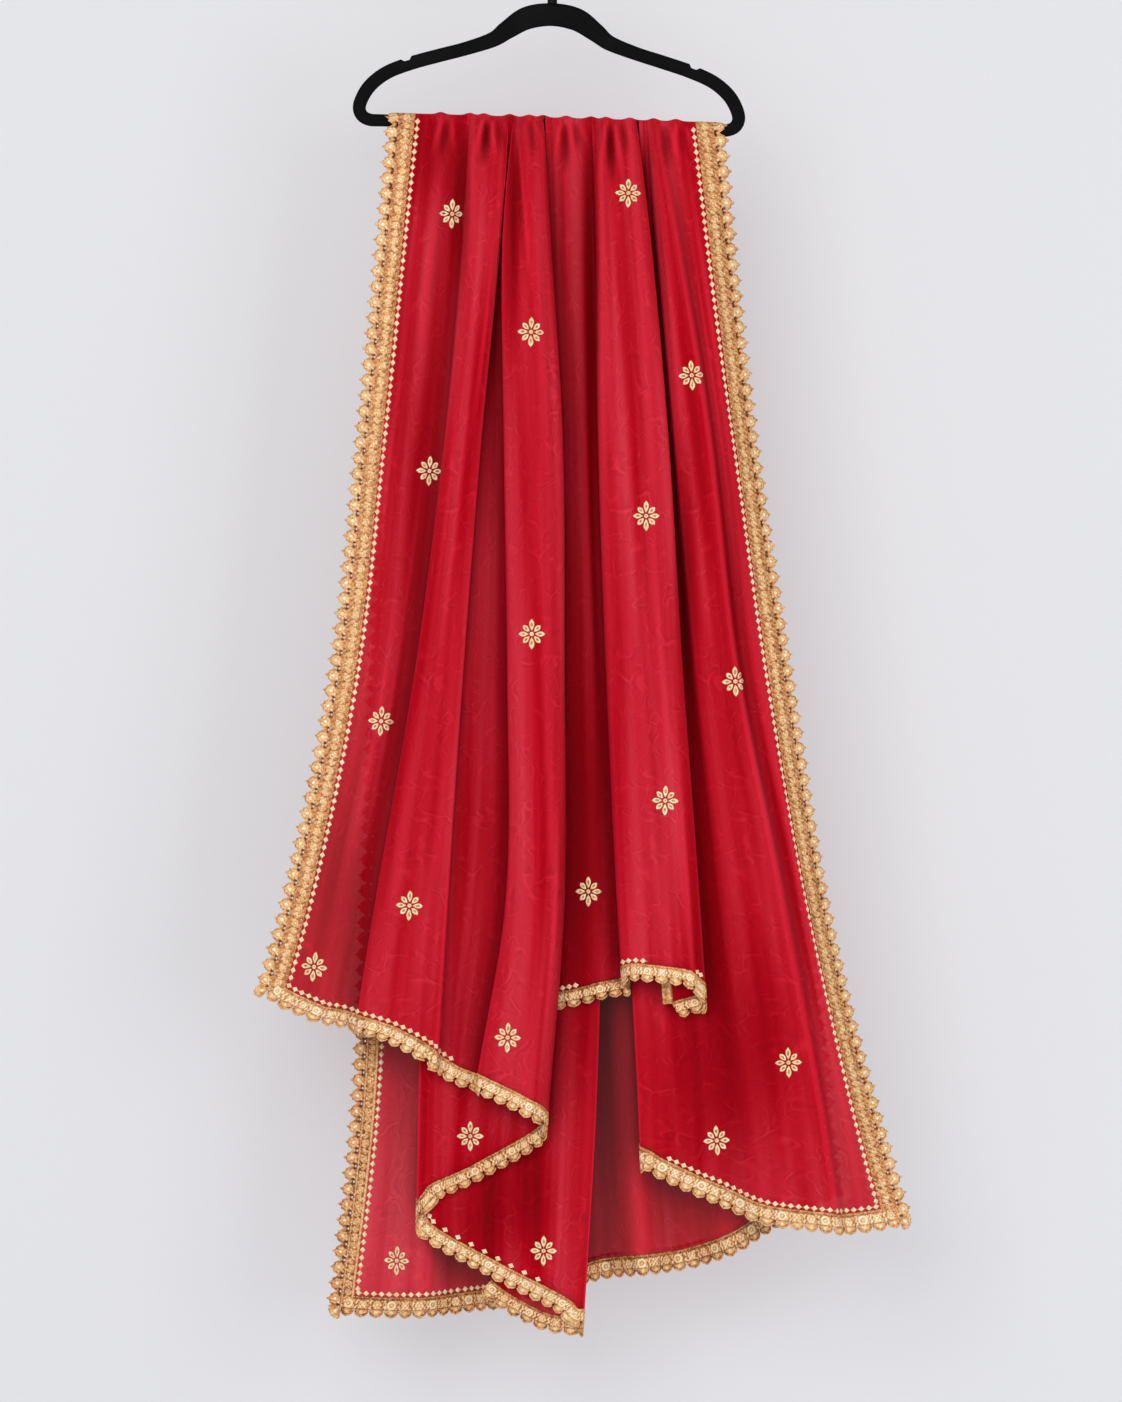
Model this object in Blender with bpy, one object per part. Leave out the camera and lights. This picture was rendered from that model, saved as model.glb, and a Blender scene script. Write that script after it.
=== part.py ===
"""A dupatta stole folded over the bar of a flat clothes hanger, with a scalloped lace border.

Units are metres once built; the tables are in millimetres. +Z is up, the front faces -Y and +X is the
wearer's left as seen from the front. The origin is the inner top of the hook, where it sits on a rail.

The cloth is drawn as level cross-sections. Every fold line has a row that gives its x position at seven
drops below the bar, its depth away from the bar and the drop of the hem below it. A smooth curve through
the rows of one level is the cloth's cross-section there.
"""

from collections import namedtuple
from math import asin, cos, exp, pi, radians, sin, tan

import bmesh
import bpy
import numpy as np
from mathutils import Vector

MM = 0.001

# Hanger
TILT = radians(1.69)            # the hanger hangs a little lower on its right
HOOK_INNER_RADIUS = 19.0
WIRE_RADIUS = 2.0
ARCH_CENTRE_Z = -77.4           # centre line of the arch under the hook
BAR_DROP = 125.4                # from the arch's centre line to the bar's
BAR_HEIGHT = 12.5
HANGER_DEPTH = 6.0
COLLAR_WIDTH = 11.0
COLLAR_HEIGHT = 9.0
NOTCH_X = 152.0                 # small notches in the top of the arms
NOTCH_WIDTH = 8.0
NOTCH_DEPTH = 4.0

# Cloth
CLOTH_WALL = 1.2
BAR_WRAP = 5.2                  # radius of the cloth's middle as it turns over the bar
CLOTH_SEAT = 1.6                # the cloth's middle above the top of the bar
CLEAR_OF_BAR = 8.0              # drop at which the cloth's directions are steady again
CREST_GAP = 0.4                 # half the gap between front and back stretches on top of the bar
DEPTH_GROWTH = 70.0             # drop over which the folds open to most of their depth
GATHER_HEIGHT = 2.6
GATHER_WIDTH = 6.0
GATHER_FADE = 50.0
TILT_FADE = 150.0

# Lace
LACE_WALL = 1.8
SEAM = 0.35
SIDE_BAND = 16.0
SIDE_SCALLOP = 11.5
SIDE_PITCH = 20.5
HEM_BAND = 13.5
HEM_SCALLOP = 9.5
HEM_PITCH = 17.5
TURNED_EDGE = 10.5              # plain lace on the turned-in edge of the middle stretch
MITRE_GAP = 1.3                 # kept clear along the border where two laces meet on a mitre
NEAR_MARK = 1.2                 # a scallop's point this near one of the cloth's points moves onto it
TURN_REACH = 8.0                # a turn of the cloth within this distance straightens the lace's fall
TURN_EASE = 1.2                 # how much lower the lace sits on a turn

# (share of one scallop along the border, share of its height)
FAN = ((0.0, 0.0), (0.2, 0.72), (0.62, 1.0))
ROUND = ((0.0, 0.0), (0.24, 0.86), (0.76, 0.86))

RED = (0.62, 0.012, 0.03, 1.0)
GOLD = (0.66, 0.40, 0.16, 1.0)
BLACK = (0.012, 0.012, 0.013, 1.0)

LEVELS = (0.0, 150.0, 365.0, 625.0, 885.0, 1120.0, 1360.0)

Fold = namedtuple("Fold", "name x0 x150 x365 x625 x885 x1120 x1360 depth hem steps")

FRONT_LEFT = (
    Fold("left seam", -161, -176, -198, -228, -281, -349, -423, 24, 981, 2),
    Fold("sheer panel", -134, -146, -165, -192, -242, -288, -338, 31, 1003, 2),
    Fold("first valley", -112, -122, -138, -169, -217, -259, -299, 26, 1009, 2),
    Fold("under second pleat", -96, -106, -122, -147, -192, -231, -269, 34, 1016, 1),
    Fold("second pleat, left", -94, -101, -122, -156, -200, -237, -274, 50, 1014, 2),
    Fold("second pleat, middle", -72, -79, -102, -132, -163, -186, -208, 57, 1028, 2),
    Fold("second pleat, right", -51, -61, -82, -103, -122, -138, -154, 52, 1054, 1),
    Fold("under its right edge", -51, -66, -85, -102, -116, -128, -138, 41, 1062, 2),
    Fold("recess", -49, -61, -70, -77, -84, -88, -93, 35, 1084, 2),
    Fold("under front pleat", -47, -53, -53, -50, -48, -48, -48, 40, 1100, 1),
    Fold("front pleat, left", -45, -57, -55, -51, -50, -52, -54, 62, 1099, 2),
    Fold("front pleat, middle", -29, -32, -25, -20, -19, -26, -33, 68, 1109, 2),
    Fold("front pleat, right", -16, -10, 1, 5, 5, -14, -32, 58, 1116, 1),
    Fold("first turn", -12, -3, 10, 12, 12, -6, -24, 47, 1127, 1),
    Fold("second layer, right", -16, -10, 1, 5, 5, -14, -25, 36, 1138, 2),
    Fold("second layer, middle", -50, -55, -61, -70, -75, -86, -95, 27, 1183, 2),
    Fold("second layer, left", -79, -91, -109, -127, -134, -142, -143, 26, 1210, 1),
    Fold("second turn, front", -84, -95, -118, -135, -145, -152, -156, 24.5, 1225, 1),
    Fold("second turn, back", -84, -95, -118, -135, -145, -152, -156, 19.5, 1232, 1),
    Fold("third layer, left", -79, -91, -109, -127, -134, -142, -144, 18, 1246, 2),
    Fold("third layer, middle", -38, -38, -38, -50, -55, -61, -61, 19, 1296, 3),
    Fold("third layer, right", -2, 14, 29, 41, 43, 36, 22, 17.5, 1343, 1),
    Fold("third turn, front", 5, 22, 39, 51, 53, 47, 33, 15.7, 1348, 1),
    Fold("third turn, back", 5, 22, 39, 51, 53, 47, 33, 12.3, 1353, 1),
    Fold("fourth layer, right", -2, 14, 29, 41, 43, 36, 22, 10.5, 1358, 1),
    Fold("fourth layer, middle", -14, -6, -2, -2, -6, -14, -16, 9.5, 1350, 2),
    Fold("fourth layer, hidden end", -27, -27, -33, -44, -55, -65, -72, 9.5, 1315, 0),
)
FRONT_LEFT_LAST_OVER_BAR = 13   # the first turn: the layers behind it stop below the bar

FRONT_MIDDLE = (
    Fold("hidden edge", -10, -5, -2, -2, -2, -7, -11, 22, 992, 1),
    Fold("recess", 2, 9, 20, 25, 27, 27, 27, 24, 985, 2),
    Fold("soft ridge", 20, 27, 35, 42, 46, 50, 52, 29, 979, 2),
    Fold("under third pleat", 41, 46, 53, 63, 79, 91, 97, 25, 971, 1),
    Fold("third pleat, left", 44, 48, 50, 59, 71, 86, 97, 50, 960, 2),
    Fold("third pleat, inner", 54, 59, 66, 77, 91, 104, 114, 59, 956, 3),
    Fold("third pleat, outer", 79, 93, 109, 125, 147, 165, 177, 58, 964, 1),
    Fold("third pleat, right", 89, 105, 125, 139, 157, 170, 182, 52, 971, 1),
    Fold("turn", 93, 110, 129, 145, 164, 179, 190, 46, 980, 1),
    Fold("turned layer, right", 89, 105, 125, 139, 157, 172, 183, 41, 990, 1),
    Fold("turned layer, end", 82, 88, 97, 117, 134, 154, 165, 38, 998, 0),
)
FRONT_MIDDLE_LAST_OVER_BAR = 8

FRONT_RIGHT = (
    Fold("turned under", 104, 109, 111, 111, 109, 115, 122, 12, 1158, 1),
    Fold("left turn, back", 96, 100, 89, 86, 85, 96, 105, 14.2, 1160, 1),
    Fold("left turn, front", 96, 100, 89, 86, 85, 96, 105, 17.8, 1164, 1),
    Fold("behind third pleat", 97, 103, 97, 97, 100, 111, 120, 20, 1172, 1),
    Fold("beside the turn", 101, 107, 112, 121, 137, 154, 162, 24, 1194, 1),
    Fold("recess", 104, 113, 131, 149, 171, 190, 201, 27, 1210, 1),
    Fold("ridge, left", 108, 120, 138, 163, 197, 226, 249, 42, 1228, 2),
    Fold("ridge, right", 115, 139, 172, 203, 254, 297, 331, 46, 1238, 1),
    Fold("step behind ridge", 126, 150, 183, 214, 267, 311, 345, 31, 1239, 2),
    Fold("soft ridge", 146, 166, 197, 230, 279, 328, 368, 34, 1237, 1),
    Fold("right seam", 166, 182, 209, 246, 290, 344, 410, 25, 1233, 0),
)
FRONT_RIGHT_FIRST_OVER_BAR = 2

BACK = (
    Fold("left seam", -161, -165, -173, -184, -194, -204, -231, 14, 1335, 2),
    Fold("sheer panel", -140, -142, -147, -154, -163, -172, -190, 21, 1338, 2),
    Fold("first valley", -118, -118, -120, -124, -130, -136, -148, 11, 1337, 2),
    Fold("first pleat", -96, -94, -94, -96, -98, -101, -108, 38, 1334, 2),
    Fold("second valley", -74, -70, -66, -64, -62, -62, -62, 13, 1326, 2),
    Fold("second pleat", -50, -44, -38, -34, -28, -24, -18, 44, 1315, 2),
    Fold("third valley", -26, -20, -12, -6, 2, 8, 18, 15, 1305, 2),
    Fold("third pleat", 0, 8, 18, 28, 38, 48, 60, 40, 1295, 2),
    Fold("fourth valley", 26, 36, 48, 62, 76, 90, 106, 14, 1289, 2),
    Fold("fourth pleat", 54, 64, 80, 98, 118, 136, 156, 42, 1284, 2),
    Fold("fifth valley", 82, 94, 114, 138, 162, 184, 208, 13, 1265, 2),
    Fold("fifth pleat", 112, 126, 148, 176, 204, 230, 258, 34, 1238, 2),
    Fold("soft edge", 140, 154, 176, 206, 236, 264, 292, 17, 1220, 2),
    Fold("right seam", 166, 180, 204, 234, 264, 290, 318, 14, 1206, 0),
)

# Small gathers that show only where the cloth turns over the bar, as x positions along it.
GATHERS = (-128, -95, -79, -50, -28, -12, 14, 42, 59, 86, 113, 138)

# Rows of points down the cloth: over the bar as drops, then shares of the way to the hem. A layer that
# stops below the bar starts at the second of the shares.
CREST_DROPS = (0.0, 0.7, 2.2, BAR_WRAP)
ROW_SHARES = (0.018, 0.045, 0.085, 0.14, 0.21, 0.30, 0.40, 0.51, 0.62, 0.73, 0.83, 0.92, 1.0)


def smooth_value(knots, values, at):
    """A cubic through uneven knots that is flat nowhere it need not be and never far outside them."""
    last = len(knots) - 2
    index = max(0, min(last, int(np.searchsorted(knots, at, side="right")) - 1))
    span = knots[index + 1] - knots[index]
    share = (at - knots[index]) / span

    def slope(i):
        before = max(i - 1, 0)
        after = min(i + 1, last + 1)
        return (values[after] - values[before]) / (knots[after] - knots[before])

    if share > 1.0:
        return values[-1] + slope(last + 1) * (at - knots[-1])
    start_pull = slope(index) * span
    end_pull = slope(index + 1) * span
    return hermite(values[index], values[index + 1], start_pull, end_pull, share)


def hermite(start, end, start_pull, end_pull, share):
    square = share * share
    cube = square * share
    return (
        start * (2 * cube - 3 * square + 1)
        + start_pull * (cube - 2 * square + share)
        + end * (3 * square - 2 * cube)
        + end_pull * (cube - square)
    )


def gather_at(x, drop):
    swell = sum(exp(-(((x - middle) / GATHER_WIDTH) ** 2)) for middle in GATHERS)
    return GATHER_HEIGHT * min(swell, 1.0) * exp(-drop / GATHER_FADE)


class Stretch:
    """One stretch of cloth. side is -1 in front of the bar and +1 behind it."""

    def __init__(self, folds, side):
        self.folds = folds
        self.side = side
        self.last = len(folds) - 1
        self.hems = [fold.hem for fold in folds]
        self.levels = {}

    def fold_point(self, fold, drop):
        """The (x, y) of one fold line at a drop below the top of the bar."""
        x = smooth_value(LEVELS, fold[1:8], drop)
        wrap = BAR_WRAP * sin(acos_share(drop)) if drop < BAR_WRAP else BAR_WRAP
        opened = 1.0 - exp(-max(0.0, drop - BAR_WRAP) / DEPTH_GROWTH)
        depth = wrap + (fold.depth - BAR_WRAP) * opened
        return np.array((x, self.side * depth))

    def section(self, drop):
        """The (x, y) of every fold line at one drop."""
        if drop not in self.levels:
            self.levels[drop] = [self.fold_point(fold, drop) for fold in self.folds]
        return self.levels[drop]

    def plan(self, u, drop):
        """The cross-section's (x, y) at u, counted in fold lines. Past an end it runs on straight."""
        section = self.section(drop)
        if u < 0 or u > self.last:
            end = 0 if u < 0 else self.last
            inner = 1 if u < 0 else self.last - 1
            run = section[end] - section[inner]
            beyond = abs(u - end) * 10.0
            return section[end] + run / np.linalg.norm(run) * beyond
        index = min(int(u), self.last - 1)
        points = [section[min(max(i, 0), self.last)] for i in range(index - 1, index + 3)]
        pulls = [self.pull(*points[i : i + 3]) for i in (0, 1)]
        return hermite(points[1], points[2], pulls[0], pulls[1], u - index)

    @staticmethod
    def pull(before, at, after):
        """The tangent at a fold line, kept short next to a close neighbour so that the curve never loops."""
        tangent = (after - before) / 2
        size = np.linalg.norm(tangent)
        spans = [gap for gap in (np.linalg.norm(at - before), np.linalg.norm(after - at)) if gap > 0]
        longest = 1.15 * min(spans)
        return tangent * min(1.0, longest / size) if size > 0 else tangent

    def hem(self, u):
        inside = min(max(u, 0.0), float(self.last))
        return smooth_value(range(self.last + 1), self.hems, inside)

    def point(self, u, drop):
        x, y = self.plan(u, drop)
        gather = gather_at(x, drop)
        lift = gather * max(0.0, 1.0 - drop / BAR_WRAP)
        push = self.side * gather * min(1.0, drop / BAR_WRAP)
        lean = -tan(TILT) * x * exp(-drop / TILT_FADE)
        top = bar_top(0.0) + CLOTH_SEAT
        y += push
        if drop < 0.01:
            y += self.side * CREST_GAP
        return np.array((x, y, top + lean + lift - drop))

    def across(self, u, drop):
        """The surface's change for a whole step in u."""
        return (self.point(u + 0.02, drop) - self.point(u - 0.02, drop)) / 0.04

    def down(self, u, drop):
        """The surface's change for a drop of one millimetre."""
        return (self.point(u, drop + 2.0) - self.point(u, drop - 2.0)) / 4.0

    def moved(self, u, drop, offset):
        """The point on the surface that lies at this offset, in millimetres along it, from (u, drop)."""
        level = max(drop, CLEAR_OF_BAR)
        matrix = np.column_stack((unit(self.across(u, level)), self.down(u, level)))
        along, lower = np.linalg.lstsq(matrix, offset, rcond=None)[0]
        if drop < BAR_WRAP:
            lower = 0.0
        steps = max(1, int(abs(along)))
        for _ in range(steps):
            u += along / steps / np.linalg.norm(self.across(u, drop + lower))
        return self.point(u, drop + lower)


def acos_share(drop):
    """The angle round the top of the bar, from its crest, at a drop less than the wrap's radius."""
    return pi / 2 - asin(1.0 - drop / BAR_WRAP)


def bar_top(x):
    centre = (ARCH_CENTRE_Z - BAR_DROP + BAR_HEIGHT / 2) * cos(TILT)
    return centre - tan(TILT) * x


def unit(vector):
    return vector / np.linalg.norm(vector)


def make_material(name, colour, roughness, metallic=0.0):
    material = bpy.data.materials.new(name)
    material.use_nodes = True
    shader = material.node_tree.nodes["Principled BSDF"]
    shader.inputs["Base Color"].default_value = colour
    shader.inputs["Roughness"].default_value = roughness
    shader.inputs["Metallic"].default_value = metallic
    material.diffuse_color = colour
    return material


def add_sheet(name, points, faces, wall, material, rig):
    """A sheet of faces through points in millimetres, thickened evenly about its middle."""
    mesh = bpy.data.meshes.new(name)
    mesh.from_pydata([tuple(MM * c for c in point) for point in points], [], faces)
    mesh.materials.append(material)
    mesh.shade_smooth()
    sheet = bpy.data.objects.new(name, mesh)
    sheet.parent = rig
    bpy.context.collection.objects.link(sheet)
    solidify = sheet.modifiers.new("Wall", "SOLIDIFY")
    solidify.thickness = wall * MM
    solidify.offset = 0.0
    return sheet


def columns_of(folds):
    """The u of each column of points, with more columns where a row asks for them."""
    columns = []
    for index, fold in enumerate(folds[:-1]):
        columns += [index + step / fold.steps for step in range(fold.steps)]
    return columns + [float(len(folds) - 1)]


def drops_of(stretch, u):
    """The drops of one column's points, from the crest of the bar to the hem."""
    hem = stretch.hem(u)
    return list(CREST_DROPS) + [share * hem for share in ROW_SHARES]


def add_cloth(name, stretch, first_over, last_over, material, rig):
    """A cloth stretch. Only the columns from first_over to last_over pass over the bar."""
    columns = columns_of(stretch.folds)
    points = [stretch.point(u, drop) for u in columns for drop in drops_of(stretch, u)]
    rows = len(CREST_DROPS) + len(ROW_SHARES)
    faces = []
    for column in range(len(columns) - 1):
        over_bar = first_over <= columns[column] and columns[column + 1] <= last_over
        start = 0 if over_bar else len(CREST_DROPS) + 1
        for row in range(start, rows - 1):
            corner = column * rows + row
            faces.append((corner, corner + 1, corner + rows + 1, corner + rows))
    used = sorted({index for face in faces for index in face})
    renumbered = {old: new for new, old in enumerate(used)}
    faces = [tuple(renumbered[index] for index in face) for face in faces]
    if stretch.side > 0:
        faces = [face[::-1] for face in faces]
    return add_sheet(name, [points[index] for index in used], faces, CLOTH_WALL, material, rig)


class Border:
    """One edge of a stretch, straight between the cloth's own points, with lengths along it."""

    def __init__(self, stretch, places):
        self.stretch = stretch
        self.places = np.array(places, float)
        self.points = np.array([stretch.point(u, drop) for u, drop in places])
        steps = np.linalg.norm(np.diff(self.points, axis=0), axis=1)
        self.lengths = np.concatenate(([0.0], np.cumsum(steps)))
        self.whole = float(self.lengths[-1])

    def at(self, length, table):
        return np.array([np.interp(length, self.lengths, column) for column in table.T])

    def slope(self, length, table):
        """The change of a table's columns for a millimetre along the border, over a short run of it."""
        ahead = min(length + 3.0, self.whole)
        behind = max(length - 3.0, 0.0)
        return (self.at(ahead, table) - self.at(behind, table)) / (ahead - behind)

    def frame(self, length):
        """(place, tangent, outward direction) at a length along the border."""
        tangent = unit(self.slope(length, self.points))
        u, drop = self.at(length, self.places)
        guide = self.guide(u, max(drop, CLEAR_OF_BAR))
        out = unit(guide - np.dot(guide, tangent) * tangent)
        return (u, drop), tangent, out


class SideBorder(Border):
    """The border down one side of a stretch. way is -1 at its first fold line and +1 at its last."""

    def __init__(self, stretch, u, way, first_row=0):
        super().__init__(stretch, [(u, drop) for drop in drops_of(stretch, u)[first_row:]])
        self.way = way

    def guide(self, u, drop):
        return self.stretch.across(u, drop) * self.way

    def beside(self, length, out_by, along_by=0.0):
        """The point out_by past the cloth's edge and along_by further along, on the cloth's surface."""
        (u, drop), tangent, out = self.frame(length)
        smooth = self.stretch.point(u, drop)
        moved = self.stretch.moved(u, drop, out * out_by + tangent * along_by)
        return self.at(length, self.points) + moved - smooth


class HemBorder(Border):
    """The border along the foot of a stretch, laid out as if the cloth were flat."""

    def __init__(self, stretch):
        super().__init__(stretch, [(u, stretch.hem(u)) for u in columns_of(stretch.folds)])
        steps = np.linalg.norm(np.diff(self.points[:, :2], axis=0), axis=1)
        self.runs = np.concatenate(([0.0], np.cumsum(steps)))

    def guide(self, u, drop):
        return self.stretch.down(u, drop)

    def u_at(self, run):
        """The u at a level distance across the flat cloth. Past an end, plan() goes 10 mm for each 1."""
        inside = min(max(run, 0.0), float(self.runs[-1]))
        return float(np.interp(inside, self.runs, self.places[:, 0])) + (run - inside) / 10.0

    def heading(self, run, drop):
        return unit(self.stretch.across(self.u_at(run), drop)[:2])

    def steadiness(self, run, drop):
        """1 where the cloth runs straight, down to 0 where it turns back on itself."""
        heading = self.heading(run, drop)
        turned = min(np.dot(heading, self.heading(run + shift, drop)) for shift in (-TURN_REACH, TURN_REACH))
        return max(0.0, turned) ** 2

    def beside(self, length, out_by, along_by=0.0):
        """The point out_by past the cloth's edge and along_by further along, on the cloth's surface.

        Where the cloth turns back on itself it goes straight down, so that it stays on the turn.
        """
        u, drop = self.at(length, self.places)
        run = float(np.interp(length, self.lengths, self.runs))
        fall = self.slope(length, self.places)[1]
        level = (1.0 - min(abs(fall), 0.95) ** 2) ** 0.5
        steady = self.steadiness(run, drop)
        along = along_by * level - out_by * fall * steady
        lower = along_by * fall + out_by * (level * steady + (1.0 - steady) / max(level, 0.75))
        lower += TURN_EASE * (1.0 - steady)
        moved = self.stretch.point(self.u_at(run + along), drop + lower)
        return self.at(length, self.points) + moved - self.stretch.point(self.u_at(run), drop)


def mitre_runs(side, side_end, hem, hem_end):
    """How far the side lace and the hem lace run past the cloth's corner to meet on a mitre."""
    _, side_tangent, side_out = side.frame(side_end)
    _, hem_tangent, hem_out = hem.frame(hem_end)
    gap = HEM_BAND * hem_out - SIDE_BAND * side_out
    along_side, along_hem = np.linalg.lstsq(np.column_stack((side_tangent, -hem_tangent)), gap, rcond=None)[0]
    return abs(along_side), abs(along_hem)


def scallop_height(share, outline):
    ends = [place for place, _ in outline] + [1.0]
    heights = [height for _, height in outline] + [outline[0][1]]
    return float(np.interp(share % 1.0, ends, heights))


def lace_columns(border, band, tall, pitch_wanted, outline, before=0.0, after=0.0):
    """(inner, outer) points of each column. before and after are the mitres' runs past each end."""
    whole = border.whole + before + after
    count = max(1, round(whole / pitch_wanted))
    pitch = whole / count
    marks = [pitch * (index + share) - before for index in range(count) for share, _ in outline]
    marks.append(whole - before)
    corners = [length for length in border.lengths if all(abs(length - mark) > NEAR_MARK for mark in marks)]
    nearby = [length for length in border.lengths if length not in corners]
    marks = [min(nearby, key=lambda length: abs(length - mark)) if is_near(mark, nearby) else mark for mark in marks]
    columns = []
    for mark in sorted(set(marks + corners)):
        inside = min(max(mark, 0.0), border.whole)
        past = mark - inside
        run = before if past < 0 else after
        mitred = abs(past) / run if past else 0.0
        height = band + tall * scallop_height((mark + before) / pitch + 1e-6, outline)
        inner = border.beside(inside, SEAM + (band - SEAM) * mitred, past)
        outer = border.beside(inside, height, past)
        columns.append((inner, outer))
    return columns


def is_near(mark, lengths):
    return any(abs(length - mark) <= NEAR_MARK for length in lengths)


def add_lace(name, columns, material, rig):
    points = [point for pair in columns for point in pair]
    faces = []
    for index in range(len(columns) - 1):
        first = index * 2
        faces.append((first, first + 1, first + 3, first + 2))
    return add_sheet(name, points, faces, LACE_WALL, material, rig)


def add_side_lace(name, stretch, u, way, material, rig):
    border = SideBorder(stretch, u, way)
    hem = HemBorder(stretch)
    run, _ = mitre_runs(border, border.whole, hem, 0.0 if way < 0 else hem.whole)
    columns = lace_columns(border, SIDE_BAND, SIDE_SCALLOP, SIDE_PITCH, FAN, after=run - MITRE_GAP)
    add_lace(name, columns, material, rig)


def add_hem_lace(name, stretch, material, rig, left_corner=False, right_corner=False):
    border = HemBorder(stretch)
    runs = []
    for is_corner, u, way, end in (
        (left_corner, 0.0, -1.0, 0.0),
        (right_corner, float(stretch.last), 1.0, border.whole),
    ):
        side = SideBorder(stretch, u, way)
        run = mitre_runs(side, side.whole, border, end)[1] - MITRE_GAP
        runs.append(run if is_corner else 0.0)
    columns = lace_columns(border, HEM_BAND, HEM_SCALLOP, HEM_PITCH, ROUND, *runs)
    add_lace(name, columns, material, rig)


def add_turned_edge(name, stretch, material, rig):
    """Plain lace on the hidden, turned-in edge of the middle stretch."""
    border = SideBorder(stretch, float(stretch.last), 1.0, first_row=len(CREST_DROPS) + 1)
    columns = [(border.beside(at, SEAM), border.beside(at, TURNED_EDGE)) for at in border.lengths]
    add_lace(name, columns, material, rig)


# Half of the hanger's centre line, from the arch to the bar: across, down and the width of the arm there.
Arm = namedtuple("Arm", "across down width")
HALF_HANGER = (
    Arm(0, 0, 23),
    Arm(28, 4, 23),
    Arm(50, 17, 20),
    Arm(66, 28, 17),
    Arm(96, 39, 15.5),
    Arm(127, 48, 15.5),
    Arm(158, 58, 15.5),
    Arm(185, 70, 15.5),
    Arm(204, 87, 15.5),
    Arm(214, 106, 15),
    Arm(213, 118, 14),
    Arm(204, 124.6, 13),
    Arm(187, BAR_DROP, BAR_HEIGHT),
    Arm(120, BAR_DROP, BAR_HEIGHT),
    Arm(60, BAR_DROP, BAR_HEIGHT),
)
EDGE_ROUND = 1.6


def hanger_loop():
    """The whole centre line, smoothed: (x, z, width), once round from the arch to the arch."""
    left = [Arm(-arm.across, arm.down, arm.width) for arm in HALF_HANGER[1:]]
    ring = list(HALF_HANGER) + [Arm(0, BAR_DROP, BAR_HEIGHT)] + left[::-1]
    smooth = []
    count = len(ring)
    for index in range(count):
        near = [np.array(ring[(index + shift) % count], float) for shift in (-1, 0, 1, 2)]
        pulls = ((near[2] - near[0]) / 2, (near[3] - near[1]) / 2)
        smooth += [hermite(near[1], near[2], pulls[0], pulls[1], step / 2) for step in range(2)]
    return smooth


def add_hanger_frame(material, rig):
    ring = hanger_loop()
    half_depth = HANGER_DEPTH / 2
    mesh = bpy.data.meshes.new("hanger_frame")
    bm = bmesh.new()
    loops = []
    for index, station in enumerate(ring):
        before = ring[index - 1]
        after = ring[(index + 1) % len(ring)]
        run = unit(after[:2] - before[:2])
        normal = np.array((run[1], -run[0]))
        half = station[2] / 2
        profile = (
            (half, half_depth - EDGE_ROUND),
            (half - EDGE_ROUND, half_depth),
            (-half + EDGE_ROUND, half_depth),
            (-half, half_depth - EDGE_ROUND),
            (-half, -half_depth + EDGE_ROUND),
            (-half + EDGE_ROUND, -half_depth),
            (half - EDGE_ROUND, -half_depth),
            (half, -half_depth + EDGE_ROUND),
        )
        loop = []
        for out, depth in profile:
            x, down = station[:2] + normal * out
            loop.append(bm.verts.new((x * MM, depth * MM, (ARCH_CENTRE_Z - down) * MM)))
        loops.append(loop)
    for index, loop in enumerate(loops):
        following = loops[(index + 1) % len(loops)]
        for side in range(8):
            other = (side + 1) % 8
            bm.faces.new((loop[side], loop[other], following[other], following[side]))
    bmesh.ops.recalc_face_normals(bm, faces=bm.faces)
    bm.to_mesh(mesh)
    bm.free()
    mesh.materials.append(material)
    frame = bpy.data.objects.new("hanger_frame", mesh)
    frame.parent = rig
    bpy.context.collection.objects.link(frame)
    for side in (-1, 1):
        cutter = add_notch_cutter(side, rig)
        notch = frame.modifiers.new("Notch", "BOOLEAN")
        notch.object = cutter
        notch.operation = "DIFFERENCE"
    return frame


def add_notch_cutter(side, rig):
    """A small block that cuts the strap notch from the top of one arm."""
    bpy.ops.mesh.primitive_cube_add(size=1.0)
    cutter = bpy.context.object
    cutter.name = "notch_cutter"
    cutter.parent = rig
    arm_top = ARCH_CENTRE_Z - 56.0 + 15.5 / 2
    cutter.location = Vector((side * NOTCH_X, 0.0, arm_top + 1.0)) * MM
    cutter.rotation_euler = (0.0, side * radians(17.0), 0.0)
    cutter.scale = (NOTCH_WIDTH * MM, 2 * HANGER_DEPTH * MM, 2 * NOTCH_DEPTH * MM)
    cutter.hide_render = True
    cutter.display_type = "WIRE"
    return cutter


def hook_route():
    """The wire's centre line: up the stem, out to the right and over the rail to the open end."""
    radius = HOOK_INNER_RADIUS + WIRE_RADIUS
    centre = np.array((0.0, -HOOK_INNER_RADIUS))
    foot = ARCH_CENTRE_Z + 23.0 / 2 + 0.3
    join_angle = radians(-48)
    join = centre + radius * np.array((cos(join_angle), sin(join_angle)))
    stem = [np.array((0.0, foot)), np.array((0.0, foot + 6.0))]
    control = np.array((0.0, join[1] - join[0] * 0.95))
    bend = []
    for step in range(1, 6):
        share = step / 6
        bend.append(
            stem[-1] * (1 - share) ** 2 + 2 * control * share * (1 - share) + join * share ** 2
        )
    arc = []
    for step in range(19):
        angle = join_angle + (radians(196) - join_angle) * step / 18
        arc.append(centre + radius * np.array((cos(angle), sin(angle))))
    return stem + bend + arc


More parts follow.
